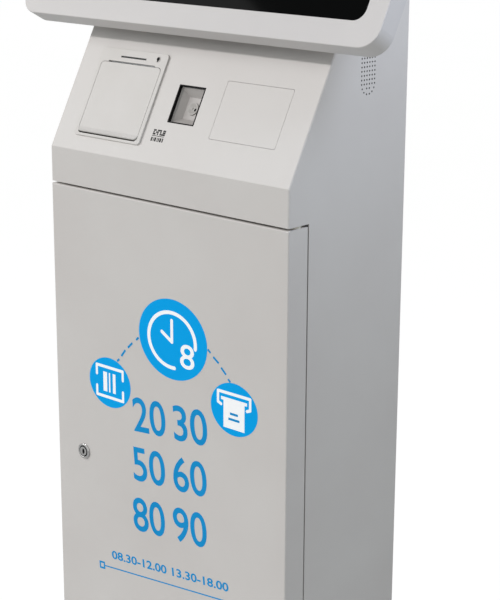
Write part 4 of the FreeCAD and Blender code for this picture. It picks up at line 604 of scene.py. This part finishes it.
clock_numeral = bmesh.new()
add_numeral(clock_numeral, "8", CLOCK_PLACE[0] + CLOCK_NUMERAL_OFFSET[0],
            CLOCK_PLACE[1] + CLOCK_NUMERAL_OFFSET[1], *CLOCK_NUMERAL_BOX, weight=0.5)
lay_film("door_film_clock_numeral", clock_numeral, ON_DOOR, LIFT + FILM, WHITE_VINYL, "door")

# %% [markdown]
# A row of small numerals, opening hours, and a thin rule with an open square at its left end close
# the graphics. They are drawn about the square and climb like the large ones.

# %% Small numerals and the rule under them
RULE_PLACE = Vector((-120.1, -508.1, 0))
RULE_LONG = 229
RULE_LINE = 1.6
SQUARE = 8
SQUARE_LINE = 2.4
HOURS = "08.30-12.00 13.30-18.00"
HOURS_PLACE = (125.8, 19)
HOURS_BOX = (210, 11.5)
rule = bmesh.new()
add_numeral(rule, HOURS, *HOURS_PLACE, *HOURS_BOX, weight=2.0)
rule_start = SQUARE / 2 + SQUARE_LINE / 2
add_bar(rule, (rule_start + RULE_LONG) / 2, 0, RULE_LONG - rule_start, RULE_LINE)
for side in (-1, 1):
    add_bar(rule, side * SQUARE / 2, 0, SQUARE_LINE, SQUARE + SQUARE_LINE)
    add_bar(rule, 0, side * SQUARE / 2, SQUARE - SQUARE_LINE, SQUARE_LINE)
ON_RULE = ON_DOOR @ Matrix.Translation(RULE_PLACE * MM) @ Matrix.Rotation(CLIMB, 4, "Z")
lay_film("door_film_rule", rule, ON_RULE, LIFT, DEEP_BLUE_VINYL, "door")

# %% [markdown]
# Under the scanner's window two small printed marks show what it reads: a square code and a bar
# code, with a short line between them. They are screen printed in dark grey ink. The feed button
# carries a small dark mark of its own.

# %% Marks under the scanner and on the button
INK = vinyl("screen_print_dark_grey", ("#333333", "#3b3b3b"))
# This black is the button's print. On the lock further down it is painted shade.
BLACK_PRINT_AND_SHADE = vinyl("black_print_and_painted_shade", ("#0c0c0c", "#121212"))
PRINT_AND_SHADE_THICK = 0.05
MARK_X = -23
CODE_CELL = 2.1
CODE_PITCH = (CODE_CELL * 1.08, CODE_CELL * 1.15)
CODE_TOP = 42.2
CODE_ROWS = ("##.###.##", "#.##.#.##", "##.#.####")
DIVIDER_SHIFT = -0.5
DIVIDER_RISE = 35
DIVIDER_BOX = (20, 0.8)
BARS = ((-9.2, 2.4), (-6, 1.0), (-3.2, 2.6), (0.2, 1.0), (2.4, 1.4), (5.4, 2.6), (9, 1.8))
BARS_RISE = 30.6
BARS_TALL = 5
BUTTON_DOT = (-63.6, 129.7, 5.0, 4.8)
BUTTON_FOOT = (-63.6, 127.2, 2.4, 2.2)
BUTTON_FACE = 3.1
SMALL_STEPS = 24
marks = bmesh.new()
for row, cells in enumerate(CODE_ROWS):
    for column, cell in enumerate(cells):
        if cell == "#":
            add_bar(marks, MARK_X + (column - len(cells) // 2) * CODE_PITCH[0],
                    CODE_TOP - row * CODE_PITCH[1], CODE_CELL, CODE_CELL)
add_bar(marks, MARK_X + DIVIDER_SHIFT, DIVIDER_RISE, *DIVIDER_BOX)
for offset, width in BARS:
    add_bar(marks, MARK_X + offset, BARS_RISE, width, BARS_TALL)
lay_film("scanner_marks", marks, ON_SLOPE, LIFT, INK, "cabinet", PRINT_AND_SHADE_THICK)

button_mark = bmesh.new()
add_disc(button_mark, *BUTTON_DOT, steps=SMALL_STEPS)
add_bar(button_mark, *BUTTON_FOOT)
lay_film("feed_button_mark", button_mark, ON_SLOPE, BUTTON_FACE + LIFT, BLACK_PRINT_AND_SHADE, "button",
         PRINT_AND_SHADE_THICK)

# %% [markdown]
# A speaker sits behind a field of small holes in each side. A black disc just under the surface fills
# each hole. It is painted shade, so that each hole reads as a black dot from every side, as the dark
# inside of a hole does. The field's places repeat those in the engineered side: straight rows
# between two half-round ends.

# %% Painted shade in the speaker holes
# Matt black for the discs in the holes: painted shade, not a real gauze.
HOLE_SHADE = moulded("speaker_hole_painted_shade", ("#060606", "#0b0b0b"), 0.8, 0.95, grain_mm=0.3, depth_mm=0.05)
SIDE_X = 200
HOLE_SHADE_DEPTH = 0.15
HOLE_SHADE_THICK = 0.3
HOLE_RADIUS = 1.1
HOLE_OVERLAP = 0.02
HOLE_STEPS = 16
HOLES_ACROSS = 6
HOLE_ROWS = 12
HOLE_PITCH = 4.8
ROW_PITCH = 5.0
FIELD_Y = 31.4
FIELD_LOW = 1008.7


def speaker_places():
    """The middle of every hole in one side, as y and z in millimetres."""
    half = HOLE_PITCH * (HOLES_ACROSS - 1) / 2
    places = [(FIELD_Y - half + HOLE_PITCH * column, FIELD_LOW + ROW_PITCH * row)
              for row in range(HOLE_ROWS) for column in range(HOLES_ACROSS)]
    for level, way in ((FIELD_LOW, -1), (FIELD_LOW + ROW_PITCH * (HOLE_ROWS - 1), 1)):
        for step in range(1, HOLES_ACROSS + 1):
            turn = math.pi * step / (HOLES_ACROSS + 1)
            places.append((FIELD_Y - half * math.cos(turn), level + way * half * math.sin(turn)))
        places += [(FIELD_Y + side * HOLE_PITCH / 2, level + way * ROW_PITCH) for side in (-1, 1)]
    return places


plug_width = 2 * (HOLE_RADIUS + HOLE_OVERLAP)
for side, way in (("left", -1), ("right", 1)):
    hole_shade = bmesh.new()
    for y, z in speaker_places():
        add_disc(hole_shade, way * y, z, plug_width, plug_width, steps=HOLE_STEPS)
    outward = Matrix(((0, 0, way), (way, 0, 0), (0, 1, 0))).to_4x4()
    on_side = Matrix.Translation((way * (SIDE_X - HOLE_SHADE_DEPTH - HOLE_SHADE_THICK) * MM, 0, 0)) @ outward
    # The discs sit just under the side's surface, as painted shade inside the holes.
    lay_film("speaker_hole_shade_" + side, hole_shade, on_side, 0, HOLE_SHADE, "cabinet", HOLE_SHADE_THICK)

# %% [markdown]
# In the lens ring sits the camera's own eye, a small dome of dark glass. It is a short arc spun
# round its own axis, and it gives the scanner the one black point that the viewer looks for.

# %% Scanner eye
EYE_PLACE = (10.0, 77.2, -12.2)
EYE_RADIUS = 2.0
EYE_TOP = 0.7 * EYE_RADIUS
EYE_FOOT = -0.6
DOME_STEP = 15


def spin_profile(name, points, on, finish, body, steps=SMALL_STEPS):
    """A closed round piece: a profile of radius and height in millimetres, spun a full turn."""
    turned = bmesh.new()
    line = [turned.verts.new((radius, 0, height)) for radius, height in points]
    edges = [turned.edges.new(pair) for pair in zip(line, line[1:])]
    bmesh.ops.spin(turned, geom=line + edges, cent=(0, 0, 0), axis=(0, 0, 1), angle=2 * math.pi,
                   steps=steps, use_merge=True)
    bmesh.ops.remove_doubles(turned, verts=turned.verts[:], dist=SAME_POINT)
    for face in turned.faces:
        face.smooth = True
    make_piece(name, turned, on, finish, body)


dome = [(0, EYE_FOOT), (EYE_RADIUS, EYE_FOOT)]
for turn in map(math.radians, range(0, 90, DOME_STEP)):
    dome.append((EYE_RADIUS * math.cos(turn), EYE_TOP * math.sin(turn)))
dome.append((0, EYE_TOP))
EYE_ON = ON_SLOPE @ Matrix.Translation(Vector(EYE_PLACE) * MM)
spin_profile("scanner_eye", dome, EYE_ON, SMOKED_ACRYLIC, "cabinet")

# %% [markdown]
# The cam lock catches the light as a small bright ring. Its flange carries a rounded chrome bezel.
# A black ring between the bezel and the key plug is painted shade for the groove there, and a black
# disc on the plug is painted shade for the dark key slot.

# %% Lock bezel, and painted shade in its groove and key slot
LOCK_PLACE = Vector((-150, -354.5, 0))
BEZEL = ((7.4, 1.5), (7.4, 2.2), (8.1, 2.6), (9.0, 2.6), (9.8, 2.3), (10.3, 1.7), (10.3, 1.2),
         (7.4, 1.5))
BEZEL_STEPS = 48
GROOVE_SHADE_RADIUS = 6.7
GROOVE_SHADE_LINE = 1.3
FLANGE_FACE = 2.0
PLUG_FACE = 2.6
KEYHOLE_SHADE = (0.6, 0, 4.2, 7.2)
ON_LOCK = ON_DOOR @ Matrix.Translation(LOCK_PLACE * MM)
spin_profile("lock_bezel", BEZEL, ON_LOCK, CHROME, "door", BEZEL_STEPS)
# A black ring round the plug: painted shade for the groove between bezel and plug.
groove_shade = bmesh.new()
add_arc(groove_shade, 0, 0, GROOVE_SHADE_RADIUS, GROOVE_SHADE_LINE, start=0, end=360)
lay_film("lock_groove_painted_shade", groove_shade, ON_LOCK, FLANGE_FACE + LIFT, BLACK_PRINT_AND_SHADE, "door",
         PRINT_AND_SHADE_THICK)
# A black disc on the plug's face: painted shade for the key slot.
keyhole_shade = bmesh.new()
add_disc(keyhole_shade, *KEYHOLE_SHADE, steps=SMALL_STEPS)
lay_film("lock_keyhole_painted_shade", keyhole_shade, ON_LOCK, PLUG_FACE + LIFT, BLACK_PRINT_AND_SHADE, "lock",
         PRINT_AND_SHADE_THICK)

# %% [markdown]
# Plain studio light in four parts. The key is a sun from the front left, 37 degrees up as the
# console sees it, and narrow enough to leave a clean shadow under the monitor. A round softbox on
# the left lifts the fronts. A small cool one above the right side lets that side fade downwards.
# The sky of the next step fills the rest.

# %% Lamps
KEY_RISE = math.radians(37)
KEY_ASIDE = math.radians(20)
KEY_TOWARD = (math.tan(KEY_ASIDE), 1, -math.tan(KEY_RISE))
KEY_ENERGY = 0.385 * math.pi
KEY_SPREAD = math.radians(3)


def add_lamp(name, kind, settings, toward, place=(0, 0, 0), colour="#ffffff"):
    """A lamp that shines along a direction, never seen itself by the camera."""
    data = bpy.data.lights.new(name, kind)
    data.color = linear(colour)[:3]
    for setting, value in settings.items():
        setattr(data, setting, value)
    lamp = bpy.data.objects.new(name, data)
    lamp.rotation_mode = "QUATERNION"
    lamp.rotation_quaternion = Vector(toward).to_track_quat("-Z", "Y")
    lamp.location = place
    lamp.visible_camera = False
    bpy.context.scene.collection.objects.link(lamp)


def add_softbox(name, place, aim, size, watts, colour):
    """A round area lamp at a place, aimed at a point."""
    toward = Vector(aim) - Vector(place)
    settings = {"shape": "DISK", "size": size, "energy": watts}
    add_lamp(name, "AREA", settings, toward, place, colour)


add_lamp("key", "SUN", {"energy": KEY_ENERGY, "angle": KEY_SPREAD}, KEY_TOWARD, colour="#fffbfb")
add_softbox("left", (-1.65, -1.3, 1.95), (-0.1, -0.1, 1.0), 1.0, 11, "#ffffff")
add_softbox("right", (0.8, 0.12, 1.65), (0.2, 0.0, 1.15), 0.5, 4.9, "#e2ebff")

# %% [markdown]
# The sky that lights the kiosk is dim, but the sky that is seen has to be white. A light path tells
# which ray asks: one from the camera, off a gloss or through glass gets plain white, and every other
# ray gets the dim sky. One maximum joins the first two answers, and a second one adds the third.

# %% Sky
SKY_STRENGTH = 0.30
world = bpy.data.worlds.new("studio")
bpy.context.scene.world = world
world.use_nodes = True
sky = world.node_tree.nodes["Background"]
sky.inputs["Color"].default_value = linear("#f5fcfb")
sky.inputs["Strength"].default_value = SKY_STRENGTH
white = add_node(world, "ShaderNodeBackground", {"Color": (1, 1, 1, 1)})
rays = add_node(world, "ShaderNodeLightPath").outputs
direct = add_node(world, "ShaderNodeMath", {"operation": "MAXIMUM"},
                  {0: rays["Is Camera Ray"], 1: rays["Is Glossy Ray"]})
seen = add_node(world, "ShaderNodeMath", {"operation": "MAXIMUM"},
                {0: direct.outputs[0], 1: rays["Is Transmission Ray"]})
choose = add_node(world, "ShaderNodeMixShader",
                  links={"Fac": seen.outputs[0], 1: sky.outputs[0], 2: white.outputs[0]})
world_output = world.node_tree.nodes["World Output"]
world.node_tree.links.new(choose.outputs[0], world_output.inputs["Surface"])
bpy.context.scene.view_settings.view_transform = "Standard"
print("sky strength", SKY_STRENGTH)

# %% [markdown]
# The floor is plain and pale. To the camera its material is mostly a white glow, just strong enough
# that the lit floor reaches white. The rest is the real shaded floor, so the shadow stays.

# %% Floor
FLOOR_HALF = 25.0
GLOW_SHARE = 0.72
GLOW = 1.2
floor_mesh = bpy.data.meshes.new("floor")
slab = bmesh.new()
bmesh.ops.create_grid(slab, x_segments=1, y_segments=1, size=FLOOR_HALF)
slab.to_mesh(floor_mesh)
slab.free()
floor = bpy.data.objects.new("floor", floor_mesh)
bpy.context.scene.collection.objects.link(floor)
floor_finish, floor_shader, floor_place = new_finish("pale_floor", roughness=0.8)
mottle(floor_finish, floor_shader, floor_place, ("#ededec", "#f1f1f0"), size_mm=900)
glow = add_node(floor_finish, "ShaderNodeEmission", {"Color": (1, 1, 1, 1), "Strength": GLOW})
floor_rays = add_node(floor_finish, "ShaderNodeLightPath").outputs
weight = add_node(floor_finish, "ShaderNodeMath", {"operation": "MULTIPLY", 1: GLOW_SHARE},
                  {0: floor_rays["Is Camera Ray"]})
blend = add_node(floor_finish, "ShaderNodeMixShader",
                 links={"Fac": weight.outputs[0], 1: floor_shader.outputs[0], 2: glow.outputs[0]})
floor_output = floor_finish.node_tree.nodes["Material Output"]
floor_finish.node_tree.links.new(blend.outputs[0], floor_output.inputs["Surface"])
floor_mesh.materials.append(floor_finish)
print("floor", FLOOR_HALF * 2, "m wide")
